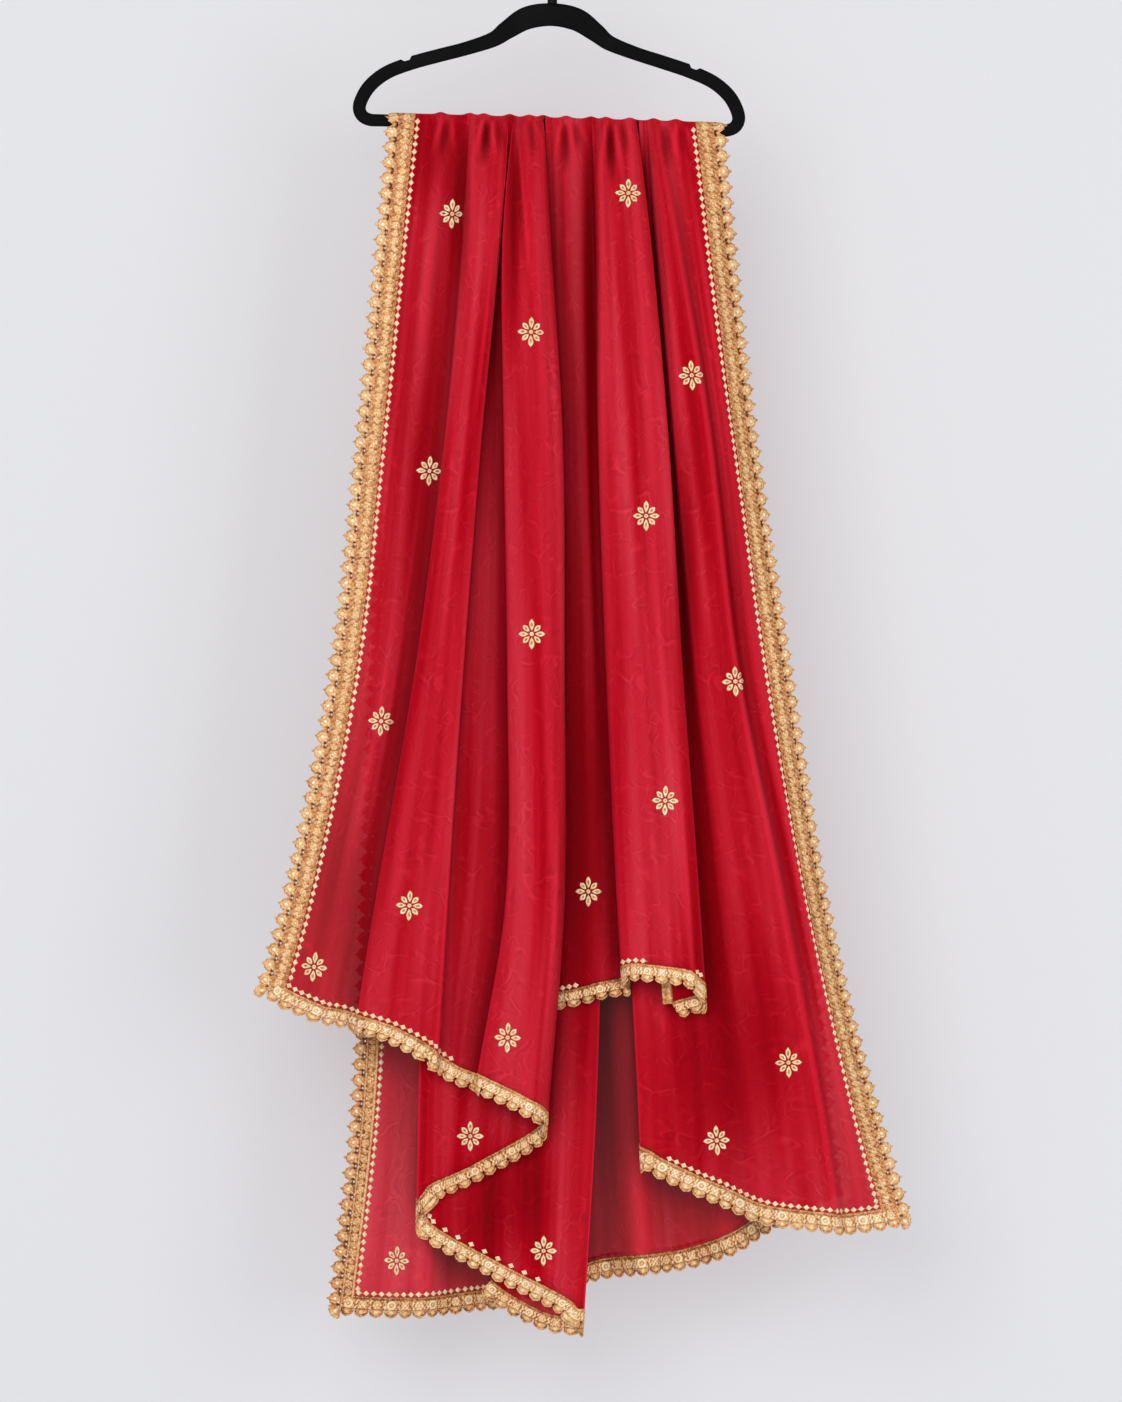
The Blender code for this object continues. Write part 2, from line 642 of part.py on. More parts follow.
def add_hook(material, rig):
    """The round wire hook with the collar that roots it in the arch."""
    curve = bpy.data.curves.new("hanger_hook", "CURVE")
    curve.dimensions = "3D"
    curve.bevel_depth = WIRE_RADIUS * MM
    curve.bevel_resolution = 1
    curve.use_fill_caps = True
    spline = curve.splines.new("POLY")
    route = hook_route()
    spline.points.add(len(route) - 1)
    for point, (x, z) in zip(spline.points, route):
        point.co = (x * MM, 0.0, z * MM, 1.0)
    curve.materials.append(material)
    hook = bpy.data.objects.new("hanger_hook", curve)
    hook.parent = rig
    bpy.context.collection.objects.link(hook)
    return hook


def add_collar(material, rig):
    """The boss on the arch that the hook's wire stands in: a ring, so that the wire passes through."""
    foot = ARCH_CENTRE_Z + 23.0 / 2 + 0.35
    mesh = bpy.data.meshes.new("hook_collar")
    bm = bmesh.new()
    outline = (
        (WIRE_RADIUS + 0.3, 0.0),
        (COLLAR_WIDTH / 2, 0.0),
        (COLLAR_WIDTH / 2, COLLAR_HEIGHT - 2.0),
        (COLLAR_WIDTH / 2 - 1.5, COLLAR_HEIGHT),
        (WIRE_RADIUS + 0.3, COLLAR_HEIGHT),
    )
    sides = 16
    rings = []
    for side in range(sides):
        angle = 2 * pi * side / sides
        ring = []
        for radius, height in outline:
            across = radius * cos(angle)
            depth = min(radius, HANGER_DEPTH / 2 + 1.0) * sin(angle)
            ring.append(bm.verts.new((across * MM, depth * MM, (foot + height) * MM)))
        rings.append(ring)
    for side in range(sides):
        ring = rings[side]
        following = rings[(side + 1) % sides]
        for row in range(len(outline)):
            other = (row + 1) % len(outline)
            bm.faces.new((ring[row], following[row], following[other], ring[other]))
    bmesh.ops.recalc_face_normals(bm, faces=bm.faces)
    bm.to_mesh(mesh)
    bm.free()
    mesh.materials.append(material)
    collar = bpy.data.objects.new("hook_collar", mesh)
    collar.parent = rig
    bpy.context.collection.objects.link(collar)
    return collar


def main():
    for item in list(bpy.data.objects):
        bpy.data.objects.remove(item, do_unlink=True)
    red = make_material("red_cloth", RED, 0.45)
    gold = make_material("gold_lace", GOLD, 0.5, 0.2)
    black = make_material("hanger_black", BLACK, 0.55)

    rig = bpy.data.objects.new("dupatta", None)
    bpy.context.collection.objects.link(rig)
    hanger = bpy.data.objects.new("hanger", None)
    hanger.parent = rig
    hanger.rotation_euler = (0.0, TILT, 0.0)
    bpy.context.collection.objects.link(hanger)
    add_hanger_frame(black, hanger)
    add_hook(black, hanger)
    add_collar(black, hanger)

    left = Stretch(FRONT_LEFT, -1)
    middle = Stretch(FRONT_MIDDLE, -1)
    right = Stretch(FRONT_RIGHT, -1)
    back = Stretch(BACK, 1)
    add_cloth("cloth_front_left", left, 0, FRONT_LEFT_LAST_OVER_BAR, red, rig)
    add_cloth("cloth_front_middle", middle, 0, FRONT_MIDDLE_LAST_OVER_BAR, red, rig)
    add_cloth("cloth_front_right", right, FRONT_RIGHT_FIRST_OVER_BAR, right.last, red, rig)
    add_cloth("cloth_back", back, 0, back.last, red, rig)

    add_side_lace("lace_front_left_side", left, 0.0, -1.0, gold, rig)
    add_side_lace("lace_front_right_side", right, float(right.last), 1.0, gold, rig)
    add_side_lace("lace_back_left_side", back, 0.0, -1.0, gold, rig)
    add_side_lace("lace_back_right_side", back, float(back.last), 1.0, gold, rig)
    add_hem_lace("lace_front_left_hem", left, gold, rig, left_corner=True)
    add_hem_lace("lace_front_middle_hem", middle, gold, rig)
    add_hem_lace("lace_front_right_hem", right, gold, rig, right_corner=True)
    add_hem_lace("lace_back_hem", back, gold, rig, left_corner=True, right_corner=True)
    add_turned_edge("lace_front_middle_edge", middle, gold, rig)


main()
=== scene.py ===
"""The looks of a dupatta stole on a clothes hanger: sheer crimson cloth, gold lace, beads and butis.

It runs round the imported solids. Tables are in millimetres and meshes in metres. +Z is up, the front faces -Y,
and the origin is the inner top of the hook. The cloth is drawn as the solids are, from level cross-sections:
every fold line has a row with its x position at seven drops, its depth and its hem's drop. A place on the
cloth is (u, drop): u counts fold lines from the first one, and drop runs down from the crest over the bar.
"""

from collections import namedtuple
from math import cos, pi, radians, sin, tan

import bpy
import numpy as np
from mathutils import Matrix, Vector


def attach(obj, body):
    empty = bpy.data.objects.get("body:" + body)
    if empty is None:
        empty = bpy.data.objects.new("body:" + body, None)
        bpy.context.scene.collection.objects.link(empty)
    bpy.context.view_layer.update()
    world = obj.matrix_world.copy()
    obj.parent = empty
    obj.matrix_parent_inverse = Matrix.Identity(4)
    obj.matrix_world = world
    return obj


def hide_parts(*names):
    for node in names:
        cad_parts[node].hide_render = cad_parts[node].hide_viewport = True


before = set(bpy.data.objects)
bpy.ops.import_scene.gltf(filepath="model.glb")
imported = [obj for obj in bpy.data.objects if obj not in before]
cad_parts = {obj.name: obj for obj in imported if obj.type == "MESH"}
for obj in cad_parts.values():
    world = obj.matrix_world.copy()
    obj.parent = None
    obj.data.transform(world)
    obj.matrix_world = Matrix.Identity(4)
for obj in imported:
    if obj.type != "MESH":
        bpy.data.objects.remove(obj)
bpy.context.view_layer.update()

MM = 0.001
ROOT = "root"

# Hanger
TILT = radians(1.69)            # the frame's turn about the hook
ARCH_CENTRE_Z = -77.4
BAR_DROP = 125.4                # from the arch's centre line to the bar's
BAR_HEIGHT = 12.5
HANGER_DEPTH = 6.0
NOTCH_X = 160.0
NOTCH_HALF = 4.2
NOTCH_DEPTH = 3.4
NOTCHED_ABOVE = 80.0            # the arms are above this drop and the bar below it

# Cloth
CLOTH_WALL = 0.7
BAR_WRAP = 5.2                  # the drop, and the depth, over which the cloth rounds the bar
CLOTH_SEAT = 1.6                # from the bar's top up to the cloth's middle
CLEAR_OF_BAR = 8.0              # a border takes its directions no higher than this
CREST_GAP = 0.05                # keeps front and back apart on the crest
DEPTH_GROWTH = 70.0             # the drop over which folds open to their depth
GATHER_HEIGHT = 2.6
GATHER_WIDTH = 6.0
GATHER_FADE = 50.0
TILT_FADE = 150.0               # the drop over which the bar's tilt leaves the cloth
HIDDEN_START = 0.045            # share of the drop at which a layer that stops below the bar starts
PAST_END = 10.0                 # millimetres for each 1 of u beyond a stretch's first or last fold line
SURFACE_FROM = 0.4              # the cloth's normals are read no higher than this
COLUMN_SPACING = 3.6
ROW_SPACING = 12.0
EVEN_ROWS_FROM = 60.0           # rows lie closer above this drop
CREST_DROPS = np.array((0.0, 0.35, 0.9, 1.7, 2.8, 4.0))
CLOSE_DROPS = np.array((0.0, 2.0, 4.3, 7.0, 10.2, 14.0, 18.5, 23.8, 30.0, 37.0, 45.0, 53.5))
WIDTH_LEVEL = 600.0             # the weave runs across at its width there

# Lace
SIDE_BAND = 13.0
SIDE_SCALLOP = 17.0
SIDE_PITCH = 17.8
HEM_BAND = 13.5
HEM_SCALLOP = 9.5
HEM_PITCH = 16.4
NARROW_BAND = 11.0
NARROW_SCALLOP = 8.6
NARROW_PITCH = 15.8
LACE_HALF = 0.6
LACE_OVERLAP = 1.2              # the lace is sewn this far onto the cloth
SIDE_OVERLAPS = {"front_left": 4.5, "front_right": 6.0, "back_left": 1.5, "back_right": 4.5}
SIDE_STEPS = 260
TURN_REACH = 8.0                # how far a turn of the cloth reaches along the hem
TURN_EASE = 1.0
HOLE_RADIUS = 1.1               # the small gap between two scallops, next to the band
WRONG_SIDE_TONE = 0.11          # the lace is this much duller on its wrong side
FOLD_PAINTED_SHADE = 0.14                # and this much darker in a fold, as painted shade
MIDDLE_HEM_SHADED = 96.0        # the middle hem's lace gets the painted fold shade as far along as this

# Beads and butis
BEAD_PITCH = 8.9
CLOSE = 7.6                     # between beads on the middle hem
SPARSE = 17.0                   # between beads where only a few are sewn
BEAD_GAP = 3.3                  # from the lace to the middle of the bead line
END_GAP = 6.0                   # from a border's end to its first or last bead
DIAMOND = ((3.7, 3.1, 0.0), (3.7, 3.1, 0.40), (1.6, 1.4, 1.05))
LINK = ((1.9, 0.70, 0.0), (1.9, 0.70, 0.35), (1.3, 0.4, 0.60))
PETAL_SIDES = 16
PETAL_TIPS = (15.8, 14.4, 17.8, 14.4)
PETAL_START = 2.9
PETAL_HALF = 3.25
PETAL_FULLNESS = 0.26           # how much fuller a petal is toward its tip
HEART_RADIUS = 2.7

# The room, in metres
WALL_Y = 0.22
FLOOR_Z = -2.2

# A fold line's x at seven drops, LEVELS, with its depth from the bar's middle and the hem's drop there.
LEVELS = np.array((0.0, 150.0, 365.0, 625.0, 885.0, 1120.0, 1360.0))
Fold = namedtuple("Fold", "name x0 x150 x365 x625 x885 x1120 x1360 depth hem")

FRONT_LEFT = (
    Fold("left seam", -161, -176, -198, -228, -281, -349, -423, 24, 981),
    Fold("sheer panel", -134, -146, -165, -192, -242, -288, -338, 31, 1003),
    Fold("first valley", -112, -122, -138, -169, -217, -259, -299, 26, 1009),
    Fold("under second pleat", -96, -106, -122, -147, -192, -231, -269, 34, 1016),
    Fold("second pleat, left", -94, -101, -122, -156, -200, -237, -274, 50, 1014),
    Fold("second pleat, middle", -72, -79, -102, -132, -163, -186, -208, 57, 1028),
    Fold("second pleat, right", -51, -61, -82, -103, -122, -138, -154, 52, 1054),
    Fold("under its right edge", -51, -66, -85, -102, -116, -128, -138, 41, 1062),
    Fold("recess", -49, -61, -70, -77, -86, -112, -120, 35, 1073),
    Fold("under front pleat", -47, -53, -53, -50, -50, -84, -96, 40, 1083),
    Fold("front pleat, left", -45, -57, -55, -51, -53, -90, -108, 60, 1080),
    Fold("front pleat, middle", -29, -32, -25, -20, -19, -36, -48, 68, 1104),
    Fold("front pleat, right", -16, -10, 1, 5, 5, -14, -32, 58, 1116),
    Fold("first turn", -12, -3, 10, 12, 12, -6, -24, 47, 1127),
    Fold("second layer, right", -16, -10, 1, 5, 5, -14, -25, 36, 1138),
    Fold("second layer, middle", -50, -55, -61, -70, -75, -86, -95, 27, 1183),
    Fold("second layer, left", -79, -91, -109, -127, -134, -142, -143, 26, 1210),
    Fold("second turn, front", -84, -95, -118, -135, -145, -152, -156, 24.5, 1225),
    Fold("second turn, back", -84, -95, -118, -135, -145, -152, -156, 19.5, 1232),
    Fold("third layer, left", -79, -91, -109, -127, -134, -142, -144, 18, 1246),
    Fold("third layer, middle", -38, -38, -38, -50, -55, -61, -61, 19, 1296),
    Fold("third layer, right", -2, 14, 29, 41, 43, 36, 22, 17.5, 1343),
    Fold("third turn, front", 5, 22, 39, 51, 53, 47, 33, 15.7, 1348),
    Fold("third turn, back", 5, 22, 39, 51, 53, 47, 33, 12.3, 1353),
    Fold("fourth layer, right", -2, 14, 29, 41, 43, 36, 22, 10.5, 1358),
    Fold("fourth layer, middle", -14, -6, -2, -2, -6, -14, -16, 9.5, 1350),
    Fold("fourth layer, hidden end", -27, -27, -33, -44, -55, -65, -72, 9.5, 1315),
)
FRONT_LEFT_LAST_OVER_BAR = 13

FRONT_MIDDLE = (
    Fold("hidden edge", -10, -5, -2, -2, -2, -7, -11, 22, 992),
    Fold("recess", 2, 9, 20, 25, 27, 27, 27, 24, 985),
    Fold("soft ridge", 20, 27, 35, 42, 46, 50, 52, 29, 979),
    Fold("under third pleat", 41, 46, 53, 63, 79, 91, 97, 25, 971),
    Fold("third pleat, left", 44, 48, 50, 59, 71, 86, 97, 50, 960),
    Fold("third pleat, inner", 54, 59, 66, 77, 91, 104, 114, 59, 956),
    Fold("third pleat, outer", 79, 93, 109, 125, 147, 165, 177, 58, 964),
    Fold("third pleat, right", 89, 105, 125, 139, 157, 170, 182, 52, 971),
    Fold("turn", 93, 110, 129, 145, 164, 179, 190, 46, 980),
    Fold("turned layer, right", 89, 105, 125, 139, 157, 172, 183, 41, 990),
    Fold("turned layer, end", 82, 88, 97, 114, 125, 142, 156, 38, 1001),
)
FRONT_MIDDLE_LAST_OVER_BAR = 8

FRONT_RIGHT = (
    Fold("turned under", 104, 109, 111, 111, 109, 115, 122, 12, 1158),
    Fold("left turn, back", 96, 100, 89, 86, 85, 96, 105, 14.2, 1160),
    Fold("left turn, front", 96, 100, 89, 86, 85, 96, 105, 17.8, 1164),
    Fold("behind third pleat", 97, 103, 97, 97, 100, 111, 120, 20, 1172),
    Fold("beside the turn", 101, 107, 112, 121, 137, 154, 162, 24, 1194),
    Fold("recess", 104, 113, 131, 149, 171, 190, 201, 27, 1210),
    Fold("ridge, left", 108, 120, 138, 163, 197, 226, 249, 42, 1228),
    Fold("ridge, right", 115, 139, 172, 203, 254, 297, 331, 46, 1238),
    Fold("step behind ridge", 126, 150, 183, 214, 267, 311, 345, 31, 1239),
    Fold("soft ridge", 146, 166, 197, 230, 279, 328, 368, 34, 1237),
    Fold("right seam", 166, 182, 209, 246, 290, 344, 410, 25, 1233),
)
FRONT_RIGHT_FIRST_OVER_BAR = 2

BACK = (
    Fold("left seam", -161, -165, -173, -184, -194, -204, -231, 14, 1335),
    Fold("sheer panel", -140, -142, -147, -154, -163, -172, -190, 21, 1338),
    Fold("first valley", -118, -118, -120, -124, -130, -136, -148, 11, 1337),
    Fold("first pleat", -96, -94, -94, -96, -98, -101, -108, 38, 1334),
    Fold("second valley", -74, -70, -66, -64, -62, -62, -62, 13, 1326),
    Fold("second pleat", -50, -44, -38, -34, -28, -24, -18, 44, 1315),
    Fold("third valley", -26, -20, -12, -6, 2, 8, 18, 15, 1305),
    Fold("third pleat", 0, 8, 18, 28, 38, 48, 60, 40, 1295),
    Fold("fourth valley", 26, 36, 48, 62, 76, 90, 106, 14, 1289),
    Fold("fourth pleat", 54, 64, 80, 98, 118, 136, 156, 42, 1284),
    Fold("fifth valley", 82, 94, 114, 138, 162, 184, 208, 13, 1265),
    Fold("fifth pleat", 112, 126, 148, 176, 204, 230, 258, 34, 1238),
    Fold("soft edge", 140, 154, 176, 206, 236, 264, 292, 17, 1220),
    Fold("right seam", 166, 180, 204, 234, 264, 290, 318, 14, 1206),
)

# Where the small gathers stand along the bar.
GATHERS = (-128, -95, -79, -50, -28, -12, 14, 42, 59, 86, 113, 138)

# Short puckers under the bar: x beside the bar, the lean on the way down, the length and the depth.
Tuck = namedtuple("Tuck", "x lean length depth")
TUCKS = (
    Tuck(-121, -6, 50, 4.0),
    Tuck(-76, -3, 58, 6.2),
    Tuck(-63, 5, 40, 2.8),
    Tuck(-28, 6, 44, 3.0),
    Tuck(12, 1, 60, 5.6),
    Tuck(24, 5, 38, 2.8),
    Tuck(63, 2, 76, 6.4),
    Tuck(77, 7, 46, 2.6),
    Tuck(124, 7, 56, 3.4),
    Tuck(143, 6, 44, 2.6),
)

# A dart sinks the cloth just left of a slanting line and lets it rise again further left. The line runs from
# u_top to u_bottom.
Dart = namedtuple("Dart", "u_top u_bottom top bottom width depth")
FRONT_PLEAT_DART = Dart(10.1, 11.2, 14, 215, 0.85, 7.0)

# Soft creases laid over the folds. u is the fold line that a crease runs along, width is in fold lines,
# and a depth above 0 stands out and one below 0 sinks in.
Crease = namedtuple("Crease", "u top bottom width depth")

LEFT_CREASES = (
    Crease(0.55, 60, 560, 0.16, 2.2),
    Crease(1.35, 20, 330, 0.20, 2.6),
    Crease(1.70, 260, 900, 0.22, 2.0),
    Crease(0.80, 520, 980, 0.20, -2.4),
    Crease(2.50, 0, 260, 0.20, -2.2),
    Crease(4.40, 0, 230, 0.22, 2.4),
    Crease(4.75, 180, 760, 0.16, -2.0),
    Crease(5.40, 60, 420, 0.20, 2.2),
    Crease(5.55, 480, 1000, 0.20, 1.8),
    Crease(4.50, 640, 1010, 0.20, 2.0),
    Crease(8.40, 320, 1080, 0.24, 2.6),
    Crease(10.6, 0, 300, 0.22, -2.4),
    Crease(11.4, 30, 520, 0.20, 1.6),
    Crease(11.1, 420, 1100, 0.18, -1.6),
    Crease(11.7, 700, 1110, 0.20, 1.8),
    Crease(14.7, 700, 1160, 0.16, 1.6),
    Crease(15.4, 800, 1200, 0.20, -1.8),
    Crease(19.5, 900, 1290, 0.18, 1.6),
    Crease(20.3, 850, 1320, 0.22, -1.6),
    Crease(20.7, 600, 1330, 0.16, 1.4),
)
MIDDLE_CREASES = (
    Crease(1.40, 0, 300, 0.24, 2.0),
    Crease(2.45, 120, 900, 0.22, -2.2),
    Crease(5.30, 0, 200, 0.20, 2.2),
    Crease(5.55, 120, 620, 0.18, -1.8),
    Crease(5.25, 480, 960, 0.18, 1.8),
    Crease(5.75, 300, 900, 0.16, 1.6),
)
RIGHT_CREASES = (
    Crease(3.50, 700, 1180, 0.24, 2.2),
    Crease(4.45, 300, 1190, 0.24, 2.4),
    Crease(4.80, 640, 1200, 0.18, -2.0),
    Crease(6.35, 0, 400, 0.22, 2.2),
    Crease(6.55, 380, 1200, 0.20, -1.8),
    Crease(8.45, 20, 700, 0.20, 2.2),
    Crease(9.40, 60, 500, 0.22, -2.0),
    Crease(9.30, 560, 1230, 0.22, 2.2),
)
BACK_CREASES = (
    Crease(0.60, 80, 700, 0.24, 2.0),
    Crease(1.50, 300, 1320, 0.24, -2.2),
    Crease(2.50, 0, 420, 0.22, 2.2),
    Crease(3.40, 240, 1000, 0.20, 2.0),
    Crease(4.55, 60, 640, 0.22, -2.0),
    Crease(5.35, 500, 1300, 0.20, 2.2),
    Crease(6.50, 0, 360, 0.24, 2.0),
    Crease(7.40, 320, 1100, 0.20, -2.0),
    Crease(8.55, 120, 900, 0.22, 2.2),
    Crease(9.40, 600, 1270, 0.20, 2.0),
    Crease(10.5, 0, 500, 0.22, -2.0),
    Crease(11.5, 260, 1180, 0.24, 2.2),
    Crease(12.4, 80, 760, 0.22, 1.8),
)


def lengths_of(points):
    """Length along a line of points, from 0."""
    steps = np.linalg.norm(np.diff(points, axis=0), axis=1)
    return np.concatenate(([0.0], np.cumsum(steps)))


def unit(vectors):
    """The vectors at length 1."""
    return vectors / np.linalg.norm(vectors, axis=-1, keepdims=True)


def bump(distance, width):
    """A soft swell: 1 at no distance and near 0 at two widths."""
    return np.exp(-((distance / width) ** 2))


def hermite(start, end, start_pull, end_pull, share):
    """A smooth curve from start to end that leaves and arrives along the pulls."""
    square = share * share
    cube = square * share
    return (
        start * (2 * cube - 3 * square + 1)
        + start_pull * (cube - 2 * square + share)
        + end * (3 * square - 2 * cube)
        + end_pull * (cube - square)
    )


def smooth_rows(knots, table, at):
    """Each row of table as a smooth curve through the knots, read at every place in at: rows x places."""
    last = len(knots) - 2
    index = np.clip(np.searchsorted(knots, at, side="right") - 1, 0, last)
    before = np.maximum(np.arange(last + 2) - 1, 0)
    after = np.minimum(np.arange(last + 2) + 1, last + 1)
    slopes = (table[:, after] - table[:, before]) / (knots[after] - knots[before])
    span = knots[index + 1] - knots[index]
    share = (at - knots[index]) / span
    inside = np.minimum(share, 1.0)
    value = hermite(
        table[:, index], table[:, index + 1], slopes[:, index] * span, slopes[:, index + 1] * span, inside
    )
    return value + slopes[:, index + 1] * span * (share - inside)


def gather_at(x, drop):
    """The height of the small gathers along the bar."""
    swell = sum(bump(x - middle, GATHER_WIDTH) for middle in GATHERS)
    return GATHER_HEIGHT * np.minimum(swell, 1.0) * np.exp(-drop / GATHER_FADE)


def pucker_at(x, drop):
    """The tucks' height and their hollows alone. Each is a narrow hollow with a soft rim on both sides."""
    height, hollows = np.zeros(x.shape), np.zeros(x.shape)
    for tuck in TUCKS:
        share = np.clip((drop - 4.0) / tuck.length, 0.0, 1.0)
        away = x - tuck.x - tuck.lean * share
        width = 2.6 + 3.4 * share
        window = tuck.depth * np.sin(pi * share ** 0.7) ** 1.2
        rim = 0.45 * bump(np.abs(away) - 2.3 * width, width)
        hollow = bump(away, width)
        height += window * (rim - hollow)
        hollows += window * hollow
    return height, hollows


def bar_top():
    """The height of the bar's top in its middle."""
    return (ARCH_CENTRE_Z - BAR_DROP + BAR_HEIGHT / 2) * cos(TILT)


class Stretch:
    """One stretch of cloth. side is -1 in front of the bar and +1 behind it."""

    def __init__(self, folds, creases, side, dart=None):
        self.side = side
        self.dart = dart
        self.last = len(folds) - 1
        self.across_at = np.array([fold[1:8] for fold in folds], float)
        self.depths = np.array([fold.depth for fold in folds], float)
        self.hems = np.array([fold.hem for fold in folds], float)
        self.creases = creases

    def sections(self, drop):
        """(x, y) of every fold line at every drop: folds x drops x 2."""
        x = smooth_rows(LEVELS, self.across_at, drop)
        rounded = np.sqrt(np.clip(1.0 - (1.0 - np.minimum(drop, BAR_WRAP) / BAR_WRAP) ** 2, 0.0, 1.0))
        opened = 1.0 - np.exp(-np.maximum(0.0, drop - BAR_WRAP) / DEPTH_GROWTH)
        depth = BAR_WRAP * rounded + (self.depths[:, None] - BAR_WRAP) * opened
        return np.stack((x, self.side * depth), axis=-1)

    def plan(self, u, drop):
        """The cross-section's (x, y) at u. Past an end it runs on straight."""
        sections = self.sections(drop)
        places = np.arange(len(drop))
        inside = np.clip(u, 0.0, self.last)
        index = np.clip(inside.astype(int), 0, self.last - 1)
        near = [sections[np.clip(index + shift, 0, self.last), places] for shift in (-1, 0, 1, 2)]
        pulls = [self.pull(*near[i : i + 3]) for i in (0, 1)]
        found = hermite(near[1], near[2], pulls[0], pulls[1], (inside - index)[:, None])
        first_run = unit(sections[0] - sections[1])
        last_run = unit(sections[-1] - sections[-2])
        return found + np.where(u[:, None] < 0, first_run, last_run) * np.abs(u - inside)[:, None] * PAST_END

    @staticmethod
    def pull(before, at, after):
        """The tangent at a fold line, kept short next to a close neighbour."""
        tangent = (after - before) / 2
        size = np.linalg.norm(tangent, axis=-1)
        gaps = [np.linalg.norm(gap, axis=-1) for gap in (at - before, after - at)]
        nearest = np.minimum(*[np.where(gap > 0, gap, 1e6) for gap in gaps])
        return tangent * np.minimum(1.0, 1.15 * nearest / np.maximum(size, 1e-6))[:, None]

    def hem(self, u):
        """The hem's drop at u."""
        knots = np.arange(self.last + 1, dtype=float)
        return smooth_rows(knots, self.hems[None, :], np.clip(u, 0.0, self.last))[0]

    def relief(self, u, drop):
        """How far the small creases stand out from the folds."""
        height = 0.5 * np.sin(2.1 * u + drop / 61.0) * np.sin(1.3 * u - drop / 97.0)
        for crease in self.creases:
            share = np.clip((drop - crease.top) / (crease.bottom - crease.top), 0.0, 1.0)
            wander = 0.10 * np.sin(share * 5.0 + crease.u)
            profile = bump(u - crease.u - wander, crease.width)
            height += crease.depth * profile * np.sin(pi * share) ** 2 * (1.15 - 0.5 * share)
        height = height * np.clip(drop / 40.0, 0.0, 1.0)
        if self.dart:
            dart = self.dart
            share = np.clip((drop - dart.top) / (dart.bottom - dart.top), 0.0, 1.0)
            line = dart.u_top + (dart.u_bottom - dart.u_top) * share ** 0.55
            left = 1.0 - np.clip((u - line) / 0.24 + 0.5, 0.0, 1.0)
            window = np.sin(pi * share ** 0.6) ** 1.3
            height -= dart.depth * left * bump(line - u, dart.width) * window
        return height

    def point(self, u, drop):
        """Points of the cloth's middle, in millimetres, for arrays of u and drop."""
        u, drop = np.broadcast_arrays(np.asarray(u, float), np.asarray(drop, float))
        shape = u.shape
        u, drop = u.ravel(), drop.ravel()
        x, y = self.plan(u, drop).T
        gather = gather_at(x, drop)
        lift = gather * np.maximum(0.0, 1.0 - drop / BAR_WRAP)
        push = gather * np.minimum(1.0, drop / BAR_WRAP) + self.relief(u, drop) + pucker_at(x, drop)[0]
        push += np.where(drop < 0.01, CREST_GAP, 0.0)
        lean = -tan(TILT) * x * np.exp(-drop / TILT_FADE)
        z = bar_top() + CLOTH_SEAT + lean + lift - drop
        return np.stack((x, y + self.side * push, z), axis=-1).reshape(shape + (3,))

    def across(self, u, drop):
        """The way and length that a place moves for each 1 of u."""
        return (self.point(u + 0.02, drop) - self.point(u - 0.02, drop)) / 0.04

    def down(self, u, drop):
        """The way and length that a place moves for each millimetre of drop."""
        return (self.point(u, drop + 2.0) - self.point(u, drop - 2.0)) / 4.0

    def outward(self, u, drop):
        """The unit normal on the cloth's right side."""
        level = np.maximum(drop, SURFACE_FROM)
        return unit(self.side * np.cross(self.across(u, level), self.down(u, level)))

    def columns(self, spacing):
        """The u of each column of points, close enough together at every level."""
        columns = []
        for index in range(self.last):
            trial = np.linspace(index, index + 1, 9)
            reach = max(lengths_of(self.plan(trial, np.full(9, level)))[-1] for level in LEVELS)
            count = max(3, int(np.ceil(reach / spacing)))
            columns += [index + step / count for step in range(count)]
        return np.array(columns + [float(self.last)])

    def whole_grid(self, u, rows):
        """Points over the stretch, in rows from the crest to the hem."""
        drops = np.linspace(0.0, 1.0, rows)[:, None] * self.hem(u)[None, :]
        return self.point(np.repeat(u[None, :], rows, axis=0), drops)


# Patches where the cloth is painted a deeper red as shade (below 0) or painted with sheen (above 0): middle,
# reach and amount. The lining is the side of the back stretch that shows from the front.
PaintedShadeSheen = namedtuple("PaintedShadeSheen", "x drop wide tall amount")
FRONT_PAINTED_SHADE_SHEEN = (
    PaintedShadeSheen(-140, 48, 32, 60, -0.6),
    PaintedShadeSheen(-103, 110, 9, 90, -0.8),
    PaintedShadeSheen(-47, 125, 7, 125, -1.2),
    PaintedShadeSheen(42, 170, 9, 170, -0.8),
    PaintedShadeSheen(-80, 150, 20, 90, 0.4),
    PaintedShadeSheen(-16, 420, 24, 260, 0.3),
    PaintedShadeSheen(92, 400, 36, 260, 0.3),
    PaintedShadeSheen(148, 530, 12, 140, -0.8),
    PaintedShadeSheen(105, 860, 40, 200, 0.3),
    PaintedShadeSheen(165, 1055, 42, 150, -0.65),
    PaintedShadeSheen(232, 1055, 36, 130, -0.55),
    PaintedShadeSheen(-95, 1247, 40, 60, -0.55),
    PaintedShadeSheen(-38, 1213, 42, 70, -0.7),
    PaintedShadeSheen(35, 817, 20, 200, -0.9),
    PaintedShadeSheen(300, 1200, 36, 160, 0.15),
    PaintedShadeSheen(-165, 340, 24, 200, -0.35),
    PaintedShadeSheen(205, 500, 24, 260, -0.35),
    PaintedShadeSheen(-248, 860, 38, 120, -0.5),
)
LINING_PAINTED_SHADE_SHEEN = FRONT_PAINTED_SHADE_SHEEN + (PaintedShadeSheen(-180, 1210, 52, 190, 0.8), PaintedShadeSheen(-38, 1213, 60, 90, -0.4))
